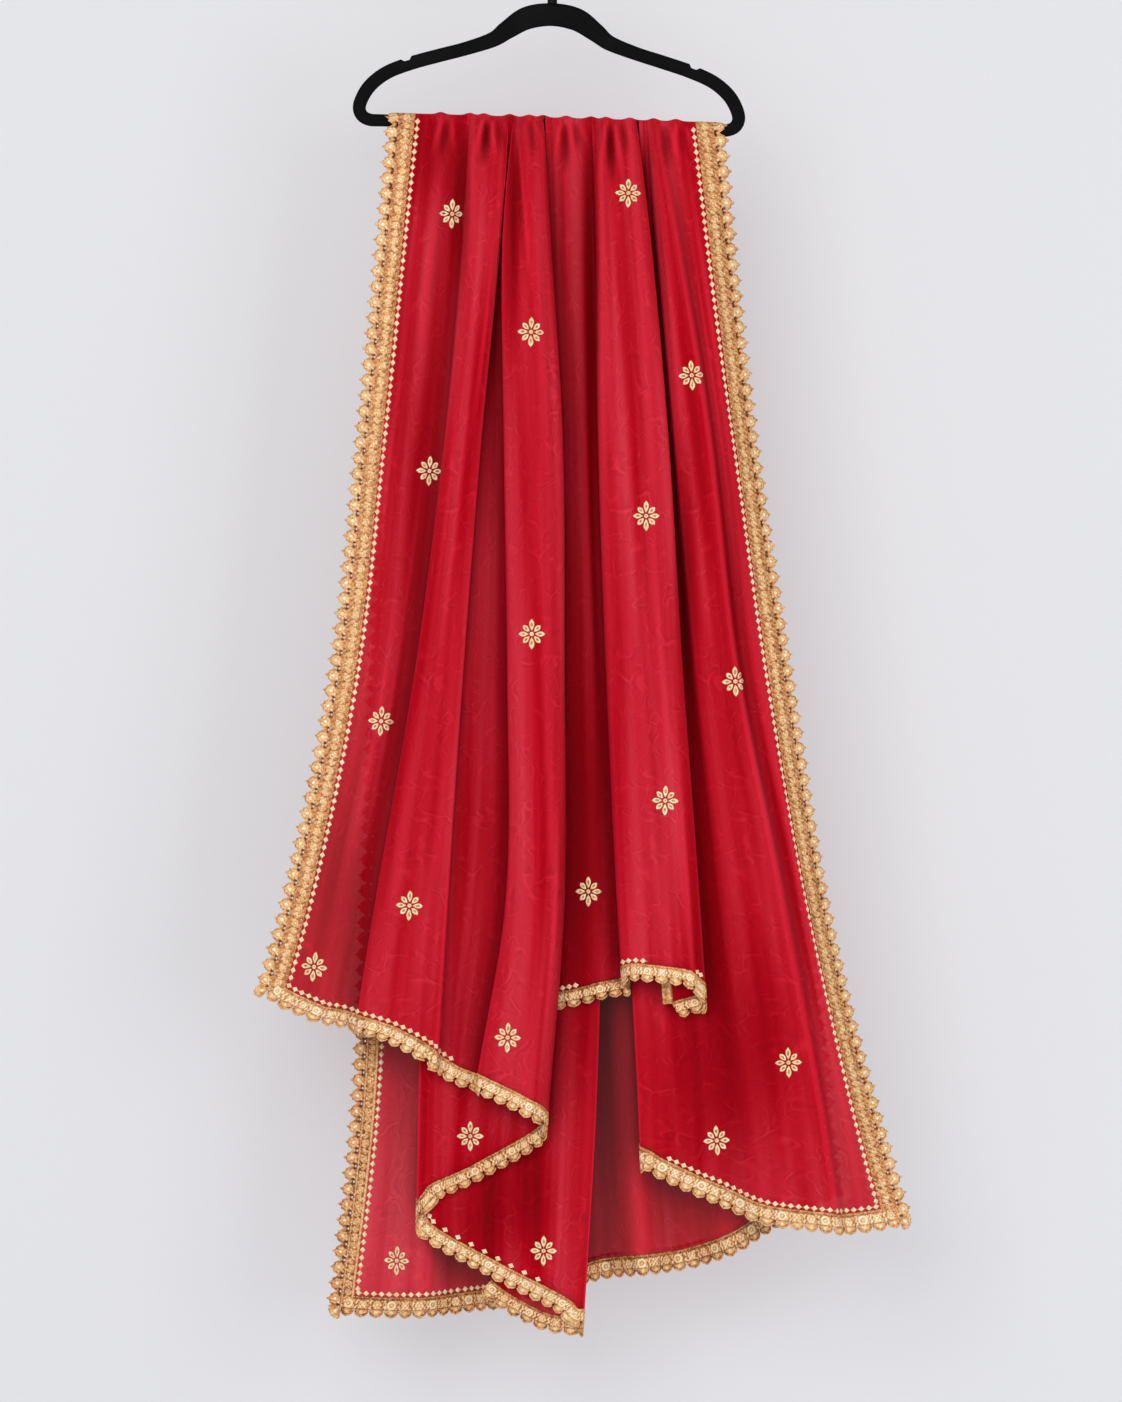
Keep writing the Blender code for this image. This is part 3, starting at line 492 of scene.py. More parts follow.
BACK_PAINTED_SHADE_SHEEN = (
    PaintedShadeSheen(-120, 500, 50, 300, -0.5),
    PaintedShadeSheen(60, 800, 40, 300, -0.5),
    PaintedShadeSheen(190, 1130, 60, 250, 0.4),
)


def painted_shade_sheen_at(patches, x, drop):
    """The painted shade (below 0) and painted sheen (above 0) at each place."""
    return sum(
        patch.amount * bump(np.hypot((x - patch.x) / patch.wide, (drop - patch.drop) / patch.tall), 1.0)
        for patch in patches
    )


# Meshes


def add_mesh(name, points, faces, material, smooth=True):
    """A mesh piece of the stole or hanger from points in millimetres."""
    mesh = bpy.data.meshes.new(name)
    mesh.from_pydata((points * MM).tolist(), [], faces)
    mesh.materials.append(material)
    if smooth:
        mesh.shade_smooth()
    piece = bpy.data.objects.new(name, mesh)
    bpy.context.collection.objects.link(piece)
    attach(piece, ROOT)
    return piece


def set_attribute(mesh, name, values):
    """A number for each point, which a material reads by name."""
    attribute = mesh.attributes.new(name, "FLOAT", "POINT")
    attribute.data.foreach_set("value", np.asarray(values, np.float32))


def set_uv(mesh, places):
    """UVs in metres along and down the cloth, from one place for each point."""
    layer = mesh.uv_layers.new(name="cloth")
    corners = np.empty(len(mesh.loops), np.int32)
    mesh.loops.foreach_get("vertex_index", corners)
    layer.data.foreach_set("uv", np.asarray(places, np.float32)[corners].ravel())


def grid_cells(columns, keep, flip):
    """Quads over a grid of points, for the cells that are kept."""
    row, column = np.nonzero(keep)
    corner = row * columns + column
    cells = np.stack((corner, corner + 1, corner + columns + 1, corner + columns), axis=1)
    return cells[:, ::-1] if flip else cells


def ring_walls(rings, sides):
    """Quads that join each ring of points to the next one."""
    return [
        [low + step, low + (step + 1) % sides, low + sides + (step + 1) % sides, low + sides + step]
        for low in range(0, sides * (rings - 1), sides)
        for step in range(sides)
    ]


def close_shell(cells, count):
    """Faces of a closed shell: the cells, the same cells reversed on the back, and a rim round every edge."""
    starts = cells.ravel()
    ends = np.roll(cells, -1, axis=1).ravel()
    codes = starts.astype(np.int64) * count + ends
    reverse = ends.astype(np.int64) * count + starts
    open_edge = ~np.isin(codes, reverse)
    starts, ends = starts[open_edge], ends[open_edge]
    rims = np.stack((ends, starts, starts + count, ends + count), axis=1)
    return np.concatenate((cells, cells[:, ::-1] + count, rims))


def add_shell(name, middle, out, front, back, keep, flip, material, values, places):
    """A closed shell from a grid of points, front and back millimetres thick to each side of its middle.

    values are the mesh's attributes: one value for each point, or a pair of them for the two sides.
    """
    rows, columns = middle.shape[:2]
    count = rows * columns
    faces = close_shell(grid_cells(columns, keep, flip), count)
    points = np.concatenate(
        ((middle + out * front[..., None]).reshape(-1, 3), (middle - out * back[..., None]).reshape(-1, 3))
    )
    used, faces = np.unique(faces, return_inverse=True)
    faces = faces.reshape(-1, 4)
    piece = add_mesh(name, points[used], faces.tolist(), material)
    for key, value in values.items():
        sides = value if isinstance(value, tuple) else (value, value)
        set_attribute(piece.data, key, np.concatenate([side.ravel() for side in sides])[used])
    set_uv(piece.data, np.tile(places.reshape(-1, 2), (2, 1))[used])
    return piece


class Surroundings:
    """How far the cloth reaches toward the front (-1) and the back (1), over a grid of x and z."""

    CELL = (3.0, 6.0)
    LOW = (-470.0, -1620.0)
    SIZE = (310, 250)
    COLUMN_SPACING = 2.2
    ROWS = 260
    NO_CLOTH = -90.0
    REACHES = (4.0, 7.0, 12.0, 19.0, 30.0, 46.0, 70.0)
    DIRECTIONS = 14

    def __init__(self, stretches):
        self.reach = {face: np.full(self.SIZE, self.NO_CLOTH) for face in (-1, 1)}
        for stretch in stretches:
            u = stretch.columns(self.COLUMN_SPACING)
            points = stretch.whole_grid(u, self.ROWS).reshape(-1, 3)
            across, up = self.cell_at(points[:, 0], points[:, 2])
            cell = (np.round(across).astype(int), np.round(up).astype(int))
            for face, reach in self.reach.items():
                np.maximum.at(reach, cell, face * points[:, 1])

    def cell_at(self, x, z):
        """The place in the grid, in cells."""
        across = np.clip((x - self.LOW[0]) / self.CELL[0], 0.0, self.SIZE[0] - 1.001)
        up = np.clip((z - self.LOW[1]) / self.CELL[1], 0.0, self.SIZE[1] - 1.001)
        return across, up

    def reach_at(self, face, x, z):
        """The reach toward a face, blended from the four cells round a place."""
        across, up = self.cell_at(x, z)
        i, j = across.astype(int), up.astype(int)
        a, b = across - i, up - j
        reach = self.reach[face]
        lower = reach[i, j] * (1 - a) + reach[i + 1, j] * a
        upper = reach[i, j + 1] * (1 - a) + reach[i + 1, j + 1] * a
        return lower * (1 - b) + upper * b

    def openness(self, points, face):
        """The share of the room that each point sees on that face, from 0 in a deep fold to 1."""
        total, weights = 0.0, 0.0
        for step in range(self.DIRECTIONS):
            angle = 2 * pi * (step + 0.5) / self.DIRECTIONS
            steepest = 0.0
            for far in self.REACHES:
                x, z = points[..., 0] + far * cos(angle), points[..., 2] + far * sin(angle)
                there = self.reach_at(face, x, z)
                steepest = np.maximum(steepest, (there - face * points[..., 1] - 0.8) / far)
            weight = 0.35 + 0.65 * abs(cos(angle))
            total = total + weight / (1.0 + steepest ** 2)
            weights += weight
        return total / weights

    def seen_from(self, points, out):
        """Openness on the side that out faces, evened over neighbouring points."""
        front, back = self.openness(points, -1), self.openness(points, 1)
        turned = np.clip(2.4 * np.abs(out[..., 1]) - 0.3, 0.0, 1.0)
        faced = np.where(out[..., 1] > 0, back, front)
        value = turned * faced + (1.0 - turned) * np.maximum(front, back)
        padded = np.pad(value, 1, mode="edge")
        across = (padded[1:-1, :-2] + 2 * padded[1:-1, 1:-1] + padded[1:-1, 2:]) / 4
        padded = np.pad(across, 1, mode="edge")
        return (padded[:-2, 1:-1] + 2 * padded[1:-1, 1:-1] + padded[2:, 1:-1]) / 4


def convexity(middle, side):
    """How sharply each place bulges toward the cloth's right side, 0 to 1 and negative the other way."""
    run = unit(np.diff(middle[..., :2], axis=1) + 1e-9)
    turn = run[:, :-1, 0] * run[:, 1:, 1] - run[:, :-1, 1] * run[:, 1:, 0]
    turn = -side * np.pad(turn, ((0, 0), (1, 1)), mode="edge")
    return np.clip(turn / 0.55, -1.0, 1.0)


def over_the_bar(u, over_bar):
    """Which columns of cells pass over the bar."""
    return (u[:-1] >= over_bar[0] - 1e-6) & (u[1:] <= over_bar[1] + 1e-6)


def add_cloth(name, stretch, over_bar, node, material, surroundings):
    """A cloth stretch on its solid's form. Only the columns in over_bar pass over the bar."""
    u = stretch.columns(COLUMN_SPACING)
    hems = stretch.hem(u)
    longest = hems.max() - BAR_WRAP
    count = int((hems.max() - EVEN_ROWS_FROM) / ROW_SPACING)
    even = np.linspace((EVEN_ROWS_FROM + 2.0) / longest, 1.0, count + 1)
    shares = np.concatenate((CLOSE_DROPS / longest, even))
    crest = np.repeat(CREST_DROPS[:, None], len(u), axis=1)
    drops = np.concatenate((crest, BAR_WRAP + shares[:, None] * (hems - BAR_WRAP)[None, :]))
    grid_u = np.repeat(u[None, :], len(drops), axis=0)
    middle = stretch.point(grid_u, drops)
    out = stretch.outward(grid_u, drops)
    below = drops[:-1, :-1] >= HIDDEN_START * hems[None, :-1]
    keep = over_the_bar(u, over_bar)[None, :] | below
    wall = np.full(drops.shape, CLOTH_WALL / 2)
    run = lengths_of(stretch.plan(u, np.full(len(u), WIDTH_LEVEL)))
    places = np.stack((np.repeat(run[None, :], len(drops), axis=0), -drops), axis=-1) * MM
    bulge = convexity(middle, stretch.side)
    # The open attribute is painted shade: the cloth is darker in folds, under and between layers and in the
    # tucks' hollows, and less so just below the bar.
    below_bar = 0.55 + 0.45 * np.clip(drops / 160.0, 0.0, 1.0)
    hollow = 1.0 - 0.10 * pucker_at(middle[..., 0], drops)[1]
    patches = (BACK_PAINTED_SHADE_SHEEN, LINING_PAINTED_SHADE_SHEEN) if stretch.side > 0 else (FRONT_PAINTED_SHADE_SHEEN, FRONT_PAINTED_SHADE_SHEEN)
    values = {
        "open": tuple(
            hollow - (1.0 - surroundings.seen_from(middle, way * out)) * below_bar for way in (1, -1)
        ),
        # The crest attribute paints a highlight along the bulging fold edges.
        "crest": (np.clip(bulge, 0.0, 1.0), np.clip(-bulge, 0.0, 1.0)),
        # The satin attribute holds the painted shade and painted sheen patches.
        "satin": tuple(painted_shade_sheen_at(facing, middle[..., 0], drops) for facing in patches),
    }
    flip = stretch.side < 0
    piece = add_shell(name, middle, out, wall, wall, keep, flip, material, values, places)
    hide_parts(node)
    return piece


# Lace


class SideBorder:
    """The border down one side of a stretch. way is -1 at its first fold line and +1 at its last."""

    def __init__(self, stretch, way, first_drop=0.0):
        self.stretch = stretch
        self.way = way
        self.flips = stretch.side != -way
        self.end = 0.0 if way < 0 else float(stretch.last)
        hem = float(stretch.hem(np.array([self.end]))[0])
        over_bar = [0.0, 0.7, 1.6, 2.8, 4.0] if first_drop == 0.0 else []
        self.drops = np.concatenate((over_bar, np.linspace(max(first_drop, BAR_WRAP), hem, SIDE_STEPS)))
        ends = np.full(len(self.drops), self.end)
        self.lengths = lengths_of(stretch.point(ends, self.drops))
        self.whole = float(self.lengths[-1])

    def place(self, length, out_by):
        """(u, drop) of points out_by past the cloth's edge, on its surface, at lengths along the border."""
        inside = np.clip(length, 0.0, self.whole)
        drop = np.interp(inside, self.lengths, self.drops)
        level = np.maximum(drop, CLEAR_OF_BAR)
        ends = np.full(drop.shape, self.end)
        across = self.stretch.across(ends, level)
        down = self.stretch.down(ends, level)
        outward = unit(across) * self.way
        along = unit(down)
        lean = np.sum(outward * along, axis=-1)
        straight = np.sqrt(1.0 - lean ** 2)
        aside = out_by / straight
        lower = (-out_by * lean / straight + (length - inside)) / np.linalg.norm(down, axis=-1)
        lower = np.where(drop < BAR_WRAP, 0.0, lower)
        scale = np.where(out_by > 0, PAST_END, np.linalg.norm(across, axis=-1))
        shift = self.way * aside / scale
        edge = self.stretch.point(ends, level)
        for _ in range(3):
            reach = np.linalg.norm(self.stretch.point(ends + shift, level) - edge, axis=-1)
            shift = np.where(out_by < 0, shift * np.abs(aside) / np.maximum(reach, 1e-6), shift)
        return ends + shift, drop + lower

    def beside(self, length, out_by):
        """The points there, and the cloth's normals."""
        u, drop = self.place(length, out_by)
        return self.stretch.point(u, drop), self.stretch.outward(u, drop)


class HemBorder:
    """The border along the foot of a stretch, laid out as if the cloth were flat."""

    COLUMN_SPACING = 2.5

    def __init__(self, stretch):
        self.stretch = stretch
        self.flips = stretch.side < 0
        self.u = stretch.columns(self.COLUMN_SPACING)
        self.drops = stretch.hem(self.u)
        points = stretch.point(self.u, self.drops)
        self.lengths = lengths_of(points)
        self.runs = lengths_of(points[:, :2])
        self.whole = float(self.lengths[-1])

    def u_at(self, run):
        inside = np.clip(run, 0.0, self.runs[-1])
        return np.interp(inside, self.runs, self.u) + (run - inside) / PAST_END

    def heading(self, run, drop):
        """The level way along the cloth, as a unit vector."""
        return unit(self.stretch.across(self.u_at(run), drop)[..., :2])

    def place(self, length, out_by):
        """(u, drop) of points out_by past the hem. On a turn of the cloth they go straight down."""
        inside = np.clip(length, 0.0, self.whole)
        drop = np.interp(inside, self.lengths, self.drops)
        run = np.interp(inside, self.lengths, self.runs)
        ahead = np.clip(inside + 4.0, 0.0, self.whole)
        behind = np.clip(inside - 4.0, 0.0, self.whole)
        rise = np.interp(ahead, self.lengths, self.drops) - np.interp(behind, self.lengths, self.drops)
        fall = np.clip(rise / (ahead - behind), -0.95, 0.95)
        level = np.sqrt(1.0 - fall ** 2)
        heading = self.heading(run, drop)
        near = [self.heading(run + shift, drop) for shift in (-TURN_REACH, TURN_REACH)]
        turned = [np.sum(heading * other, axis=-1) for other in near]
        steady = np.maximum(0.0, np.minimum(*turned)) ** 2
        past = length - inside
        along = past * level - out_by * fall * steady
        lower = past * fall + out_by * (level * steady + (1.0 - steady) / np.maximum(level, 0.75))
        lower = lower + np.where(out_by > 0, TURN_EASE, 0.0) * (1.0 - steady)
        return self.u_at(run + along), drop + lower

    def beside(self, length, out_by):
        """The points there, and the cloth's normals."""
        u, drop = self.place(length, out_by)
        return self.stretch.point(u, drop), self.stretch.outward(u, drop)


def disc(x, w, radius, petals):
    """Height and tone of a small embroidered flower at the origin, with its share of the radius."""
    r = np.hypot(x, w) / radius
    petal = 0.5 + 0.5 * np.cos(petals * np.arctan2(w, x))
    height = bump(r, 0.30) + (0.45 + 0.55 * petal) * bump(r - 0.68, 0.20)
    tone = np.clip(0.05 + 1.05 * height, 0.0, 1.0)
    return height * (r < 1.3), tone, r


# A lace's overlap on the cloth, its band's width, its scallop's height, its repeat, the step between its
# points, the rows of points over band and scallop, its relief's height, its scallop's outline and its motif.
Lace = namedtuple("Lace", "overlap band tall pitch step rows relief outline motif")


def fan_outline(share):
    """A full fan with a knob at its point and one on each shoulder."""
    away = np.abs(share - 0.5) / 0.47
    body = 0.40 + 0.38 * np.clip(1.0 - away ** 1.7, 0.0, 1.0) ** 0.7
    return body + 0.22 * bump(away, 0.20) + 0.10 * bump(away - 0.60, 0.13)


def ogee_outline(share):
    """A half-round scallop that comes to a blunt point."""
    away = np.abs(share - 0.5) * 2
    round_part = np.sqrt(np.clip(1.0 - away ** 2.4, 0.0, 1.0))
    point = np.clip(1.0 - away / 0.35, 0.0, 1.0)
    return 0.16 + 0.74 * round_part + 0.10 * point


def side_motif(x, w, top, lace, repeat):
    """Height and tone over one repeat of the wide lace: cords, flowers and leaves, and a fan with a flower.

    x runs from the scallop's middle, w out from the cloth's edge, and top is the outline's w.
    """
    band, start = lace.band, -lace.overlap
    cords = bump(w - start - 0.7, 0.7) + bump(w - start - 2.4, 0.5) + bump(w - band + 0.7, 0.7)
    centre = (band + start) / 2 + 0.4
    lean = 0.35 * np.sin(repeat * 2.3)
    middle, middle_tone, near = disc(x + lean * (w - centre), (w - centre) * 1.1, 5.0, 5)
    other, other_tone, _ = disc(np.abs(x) - lace.pitch / 2, w - centre + 1.5 * np.sin(repeat * 2.3), 3.8, 4)
    leaf = bump((x - 0.8 * (w - centre)) % 5.9 - 2.95, 0.75)
    tone = np.where(near < 1.15, 0.30 + 0.62 * middle_tone, 0.34 + 0.52 * other_tone) - 0.22 * leaf
    tone = np.where(cords > 0.45, 0.66, tone)
    height = 0.55 * cords + 0.5 * middle + 0.45 * other
    out_by = w - band
    flower, flower_tone, share = disc(x, out_by - 0.40 * lace.tall, 0.36 * lace.tall, 7)
    edge = top - w
    knobs = bump(edge - 1.3, 0.9)
    # The pit beside each small hole is painted dark, as painted shade.
    notch = bump(np.hypot(np.abs(x) - lace.pitch / 2 + 2.2, out_by - 2.4), 1.25)
    thread = bump(np.hypot(x - lace.pitch / 2 + 4.6, out_by - 1.9), 0.8)
    scallop_tone = np.where(share < 0.30, 1.05, 0.32 + 0.42 * flower_tone)
    scallop_tone = np.where(share > 1.12, 0.38 + 0.20 * knobs, scallop_tone)
    scallop_tone = np.clip(scallop_tone + 0.9 * thread - 1.1 * notch, -0.2, 1.1)
    in_band = w <= band
    height = np.where(in_band, height, 0.28 * flower + 0.30 * knobs + 0.35 * thread - 0.35 * notch)
    return height, np.where(in_band, tone, scallop_tone)


def hem_motif(x, w, top, lace, repeat):
    """Height and tone over one repeat of an end's lace: cords, cream rosettes and strokes, and a scallop."""
    band = lace.band
    cords = bump(w - 0.1, 0.7) + 0.8 * bump(w - 2.0, 0.45)
    centre = 0.60 * band
    rosette, _, share = disc(x, w - centre, 0.40 * band, 6)
    hollow = np.maximum(bump(share - 0.74, 0.24), bump(share, 0.26))
    cross = np.maximum(bump(x - w + centre, 0.8), bump(x + w - centre, 0.8))
    strokes = 0.5 + 0.5 * np.sin(2 * pi * (x + 0.9 * np.sin(w * 1.1 + repeat)) / 3.95)
    kind = repeat % 3
    motif = np.where(kind == 0, hollow, np.where(kind == 1, np.maximum(cross, 0.8 * rosette), rosette))
    drawn = np.where(share < 1.15, motif, 0.85 * strokes ** 1.5)
    tone = 0.28 + 0.90 * drawn
    tone = np.where(bump(w - band + 0.2, 0.7) > 0.5, 0.30, tone)
    tone = np.where(w < 2.6, 0.24 + 0.20 * cords, tone)
    edge = top - w
    rim = bump(edge - 0.9, 0.8)
    arcs = bump(edge - 2.5, 0.9)
    eye = bump(np.hypot(x, w - band - 0.35 * lace.tall), 2.2)
    # Round each small hole by the band the lace is painted dark, as painted shade.
    notch = bump(np.hypot(np.abs(x) - lace.pitch / 2, w - band - 1.2), 1.2)
    scallop_tone = 0.48 - 0.26 * arcs + 0.44 * eye + 0.12 * rim - 0.6 * notch
    beyond = w > band
    tone = np.where(beyond, scallop_tone, tone)
    height = 0.6 * cords + np.where(beyond, 0.5 * rim + 0.25 * eye - 0.3 * notch, 0.55 * drawn)
    return height, np.clip(tone, -0.3, 1.1)


SIDE_LACE = Lace(4.5, SIDE_BAND, SIDE_SCALLOP, SIDE_PITCH, 1.25, (12, 12), 0.75, fan_outline, side_motif)
HEM_LACE = Lace(LACE_OVERLAP, HEM_BAND, HEM_SCALLOP, HEM_PITCH, 1.0, (12, 8), 0.5, ogee_outline, hem_motif)
NARROW_HEM_LACE = HEM_LACE._replace(band=NARROW_BAND, tall=NARROW_SCALLOP, pitch=NARROW_PITCH, rows=(11, 8))


def lace_half(lip):
    """Half the lace's wall, which thins toward its lip."""
    return LACE_HALF * (0.45 + 0.55 * lip)


def add_lace(name, border, lace, before, after, node, material, shaded=0.0):
    """A length of scalloped lace. before and after are the mitres' runs past each end of the cloth's edge.

    As far along as shaded, the lace lies in a fold and is painted darker there, as painted shade.
    """
    whole = border.whole + before + after
    repeats = max(1, round(whole / lace.pitch))
    pitch = whole / repeats
    per_repeat = int(round(pitch / lace.step / 2)) * 2
    length = np.linspace(-before, border.whole + after, repeats * per_repeat + 1)
    share = ((length + before) / pitch) % 1.0
    share[-1] = 0.0
    top = lace.band + lace.tall * lace.outline(share)
    past = np.where(length < 0, -length / max(before, 1e-6), (length - border.whole) / max(after, 1e-6))
    inner = -lace.overlap + (lace.band - 0.3 + lace.overlap) * np.clip(past, 0.0, 1.0)
    band_rows, scallop_rows = lace.rows
    rows = np.arange(band_rows + scallop_rows + 1)[:, None]
    in_band = inner + (lace.band - inner) * np.minimum(rows / band_rows, 1.0)
    beyond = (top - lace.band) * np.clip((rows - band_rows) / scallop_rows, 0.0, 1.0)
    out_by = in_band + beyond
    lengths = np.repeat(length[None, :], len(rows), axis=0)
    middle, out = border.beside(lengths, out_by)
    x = np.repeat(((share - 0.5) * pitch)[None, :], len(rows), axis=0)
    repeat = np.floor((length + before) / pitch + 1e-6)[None, :]
    height, tone = lace.motif(x, out_by, top[None, :], lace, repeat)
    lip = np.clip(top[None, :] - out_by, 0.0, 1.0) ** 0.5
    # Painted shade: the lace is darker as far along as it lies in a fold.
    tone = tone - FOLD_PAINTED_SHADE * np.clip((shaded - length) / 12.0, 0.0, 1.0)[None, :]
    front = lace_half(lip) + lace.relief * height * lip
    back = lace_half(lip) + 0.6 * lace.relief * height * lip
    centre_x = (np.abs(x[:-1, :-1]) + np.abs(x[1:, 1:])) / 2
    centre_w = (out_by[:-1, :-1] + out_by[1:, 1:]) / 2
    keep = np.hypot(pitch / 2 - centre_x, centre_w - lace.band - 1.5) > HOLE_RADIUS
    places = np.stack((lengths, out_by), axis=-1) * MM
    tones = {"tone": (tone, tone - WRONG_SIDE_TONE)}
    flip = border.flips
    piece = add_shell(name, middle, out, front, back, keep, flip, material, tones, places)
    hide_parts(node)
    return piece


def corner_of(side, hem, hem_lace):
    """Where the two laces of a corner meet.

    Gives both laces' runs past the cloth's corner, the laces' own corner and both outward directions.
    """

    def at(border, length, out_by):
        return border.beside(np.array([length]), np.array([out_by]))[0][0]

    hem_end, inward = (0.0, 6.0) if side.way < 0 else (hem.whole, -6.0)
    side_start, side_beyond = at(side, side.whole, 0.1), at(side, side.whole, 10.1)
    hem_start, hem_beyond = at(hem, hem_end, 0.1), at(hem, hem_end, 10.1)
    side_out = (side_beyond - side_start) / 10.0
    hem_out = (hem_beyond - hem_start) / 10.0
    side_run = unit(side_start - at(side, side.whole - 6.0, 0.1))
    hem_run = unit(hem_start - at(hem, hem_end + inward, 0.1))
    gap = hem_lace.band * hem_out - SIDE_BAND * side_out
    along_side, along_hem = np.linalg.lstsq(np.column_stack((side_run, -hem_run)), gap, rcond=None)[0]
    corner = side_start + SIDE_BAND * side_out + along_side * side_run
    return abs(along_side), abs(along_hem), corner, side_out, hem_out


def add_corner_fan(name, corner, side_out, hem_out, outer, material):
    """The small fan that fills the mitred corner between the last scallops of two laces."""
    turns = np.linspace(-0.12, 1.12, 25)[None, :]
    rings = np.linspace(0.0, 1.0, 12)[:, None]
    lobes = 1.0 + 0.05 * np.cos(turns * 5 * 2 * pi)
    radius = (0.4 + 12.5 * rings) * lobes
    angle = turns * pi / 2
    middle = corner + radius[..., None] * (
        np.cos(angle)[..., None] * side_out + np.sin(angle)[..., None] * hem_out
    )
    out = np.broadcast_to(outer, middle.shape)
    rim = bump(rings - 0.88, 0.10)
    ribs = (0.5 + 0.5 * np.cos(turns * 14 * pi)) * bump(rings - 0.62, 0.22)
    heart = bump(np.hypot((rings - 0.45) / 0.22, (turns - 0.5) / 0.20), 1.0)
    height = 0.7 * rim + 0.4 * ribs + 0.9 * heart
    tone = np.clip(0.34 + 0.7 * heart + 0.2 * rim, 0.0, 1.0)
    lip = np.clip((1.0 - rings) * 10.0, 0.0, 1.0) ** 0.5 + 0.0 * turns
    front = lace_half(lip) + 0.75 * height * lip
    back = lace_half(lip) + 0.45 * height * lip
    keep = np.ones((len(rings) - 1, turns.shape[1] - 1), bool)
    flip = float(np.dot(np.cross(side_out, hem_out), outer)) > 0
    places = np.stack((radius * np.cos(angle), radius * np.sin(angle)), axis=-1) * MM
    tones = {"tone": tone}
    return add_shell(name, middle, out, front, back, keep, flip, material, tones, places)


def add_turned_edge(stretch, node, material):
    """Plain lace down the turned-in end of the middle stretch."""
    hem = float(stretch.hem(np.array([float(stretch.last)]))[0])
    border = SideBorder(stretch, 1.0, HIDDEN_START * hem)
    length = np.linspace(0.0, border.whole, 240)[None, :]
    out_by = np.linspace(-LACE_OVERLAP, 10.5, 10)[:, None]
    lengths, outs = np.broadcast_arrays(length, out_by)
    middle, out = border.beside(lengths, outs)
    cords = bump(outs - 1.0, 0.8) + bump(outs - 9.3, 0.8)
    flower, tone, _ = disc((lengths % 8.0) - 4.0, outs - 5.2, 3.4, 5)
    height = 0.7 * cords + 0.6 * flower
    tone = np.where(cords > 0.45, 0.5, 0.2 + 0.6 * tone)
    keep = np.ones((outs.shape[0] - 1, outs.shape[1] - 1), bool)
    places = np.stack((lengths, outs), axis=-1) * MM
    front, back = LACE_HALF + 0.7 * height, LACE_HALF + 0.4 * height
    name, flip, tones = "lace_turned_edge", border.flips, {"tone": tone}
    piece = add_shell(name, middle, out, front, back, keep, flip, material, tones, places)
    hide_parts(node)
    return piece


# Beads and butis


def add_gems(name, centres, along, aside, out, rings, sides, turn, material, tone):
    """Small closed domes on the cloth. rings gives (radius along, radius aside, height) from the foot up."""
    angles = turn + 2 * pi * np.arange(sides) / sides
    points = []
    for long, wide, height in rings:
        points.append(
            centres[:, None]
            + along[:, None] * (long * np.cos(angles))[None, :, None]
            + aside[:, None] * (wide * np.sin(angles))[None, :, None]
            + out[:, None] * height
        )
    points = np.concatenate(points, axis=1)
    each = sides * len(rings)
    one = ring_walls(len(rings), sides)
    one.append(list(range(sides))[::-1])
    one.append(list(range(each - sides, each)))
    faces = [[index + gem * each for index in face] for gem in range(len(centres)) for face in one]
    piece = add_mesh(name, points.reshape(-1, 3), faces, material, smooth=False)
    set_attribute(piece.data, "tone", np.full(len(piece.data.vertices), tone))
    return piece


def add_bead_line(name, border, inset, spans, front, pitch, material):
    """Diamond beads inset from the border, joined by short links where they are close.

    They are sewn on the cloth's right side, or on whichever side faces the front.
    """
    kinds = [("diamonds", DIAMOND, 4, 0.0, 0.0, 0.84)]
    if pitch <= BEAD_PITCH:
        kinds.append(("links", LINK, 8, pi / 8, 0.5, 0.28))
    pieces = []
    for kind, rings, sides, turn, shift, tone in kinds:
        length = np.concatenate([np.arange(start + shift * pitch, end, pitch) for start, end in spans])
        u, drop = border.place(length, np.full(len(length), -inset))
        ahead = border.place(length + 1.0, np.full(len(length), -inset))
        middles = border.stretch.point(u, drop)
        out = border.stretch.outward(u, drop)
        if front:
            out = out * np.where(out[:, 1:2] > 0, -1.0, 1.0)
        along = unit(border.stretch.point(*ahead) - middles)
        aside = unit(np.cross(out, along))
        centres = middles + out * CLOTH_WALL / 2
        gems = add_gems(f"{name}_{kind}", centres, along, aside, out, rings, sides, turn, material, tone)
        pieces.append(gems)
    return pieces


# A petal's rings from its foot up, by their share of its outline.
Ring = namedtuple("Ring", "share height tone")
PETAL_RINGS = (
    Ring(1.0, 0.0, 0.25),
    Ring(0.89, 0.42, 0.27),
    Ring(0.81, 0.74, 0.84),
    Ring(0.48, 0.80, 0.84),
    Ring(0.34, 0.62, 0.36),
)


def petal_dome(distance, long, wide, turn, heart_tone, point, fullness):
    """The points of a low dome with their tones. point narrows it toward both ends."""
    angle = 2 * pi * np.arange(PETAL_SIDES) / PETAL_SIDES
    narrowed = np.abs(np.sin(angle)) ** point * (1.0 + fullness * np.cos(angle))
    x, y = distance * cos(turn), distance * sin(turn)
    points, tones = [], []
    for ring in PETAL_RINGS:
        a = long * ring.share * np.cos(angle)
        b = wide * ring.share * np.sin(angle) * narrowed
        level = np.full(PETAL_SIDES, ring.height)
        across, down = a * cos(turn) - b * sin(turn), a * sin(turn) + b * cos(turn)
        points.append(np.stack((x + across, y + down, level), axis=1))
        tones += [ring.tone] * PETAL_SIDES
    return np.concatenate(points + [[(x, y, 0.58)]]), tones + [heart_tone]


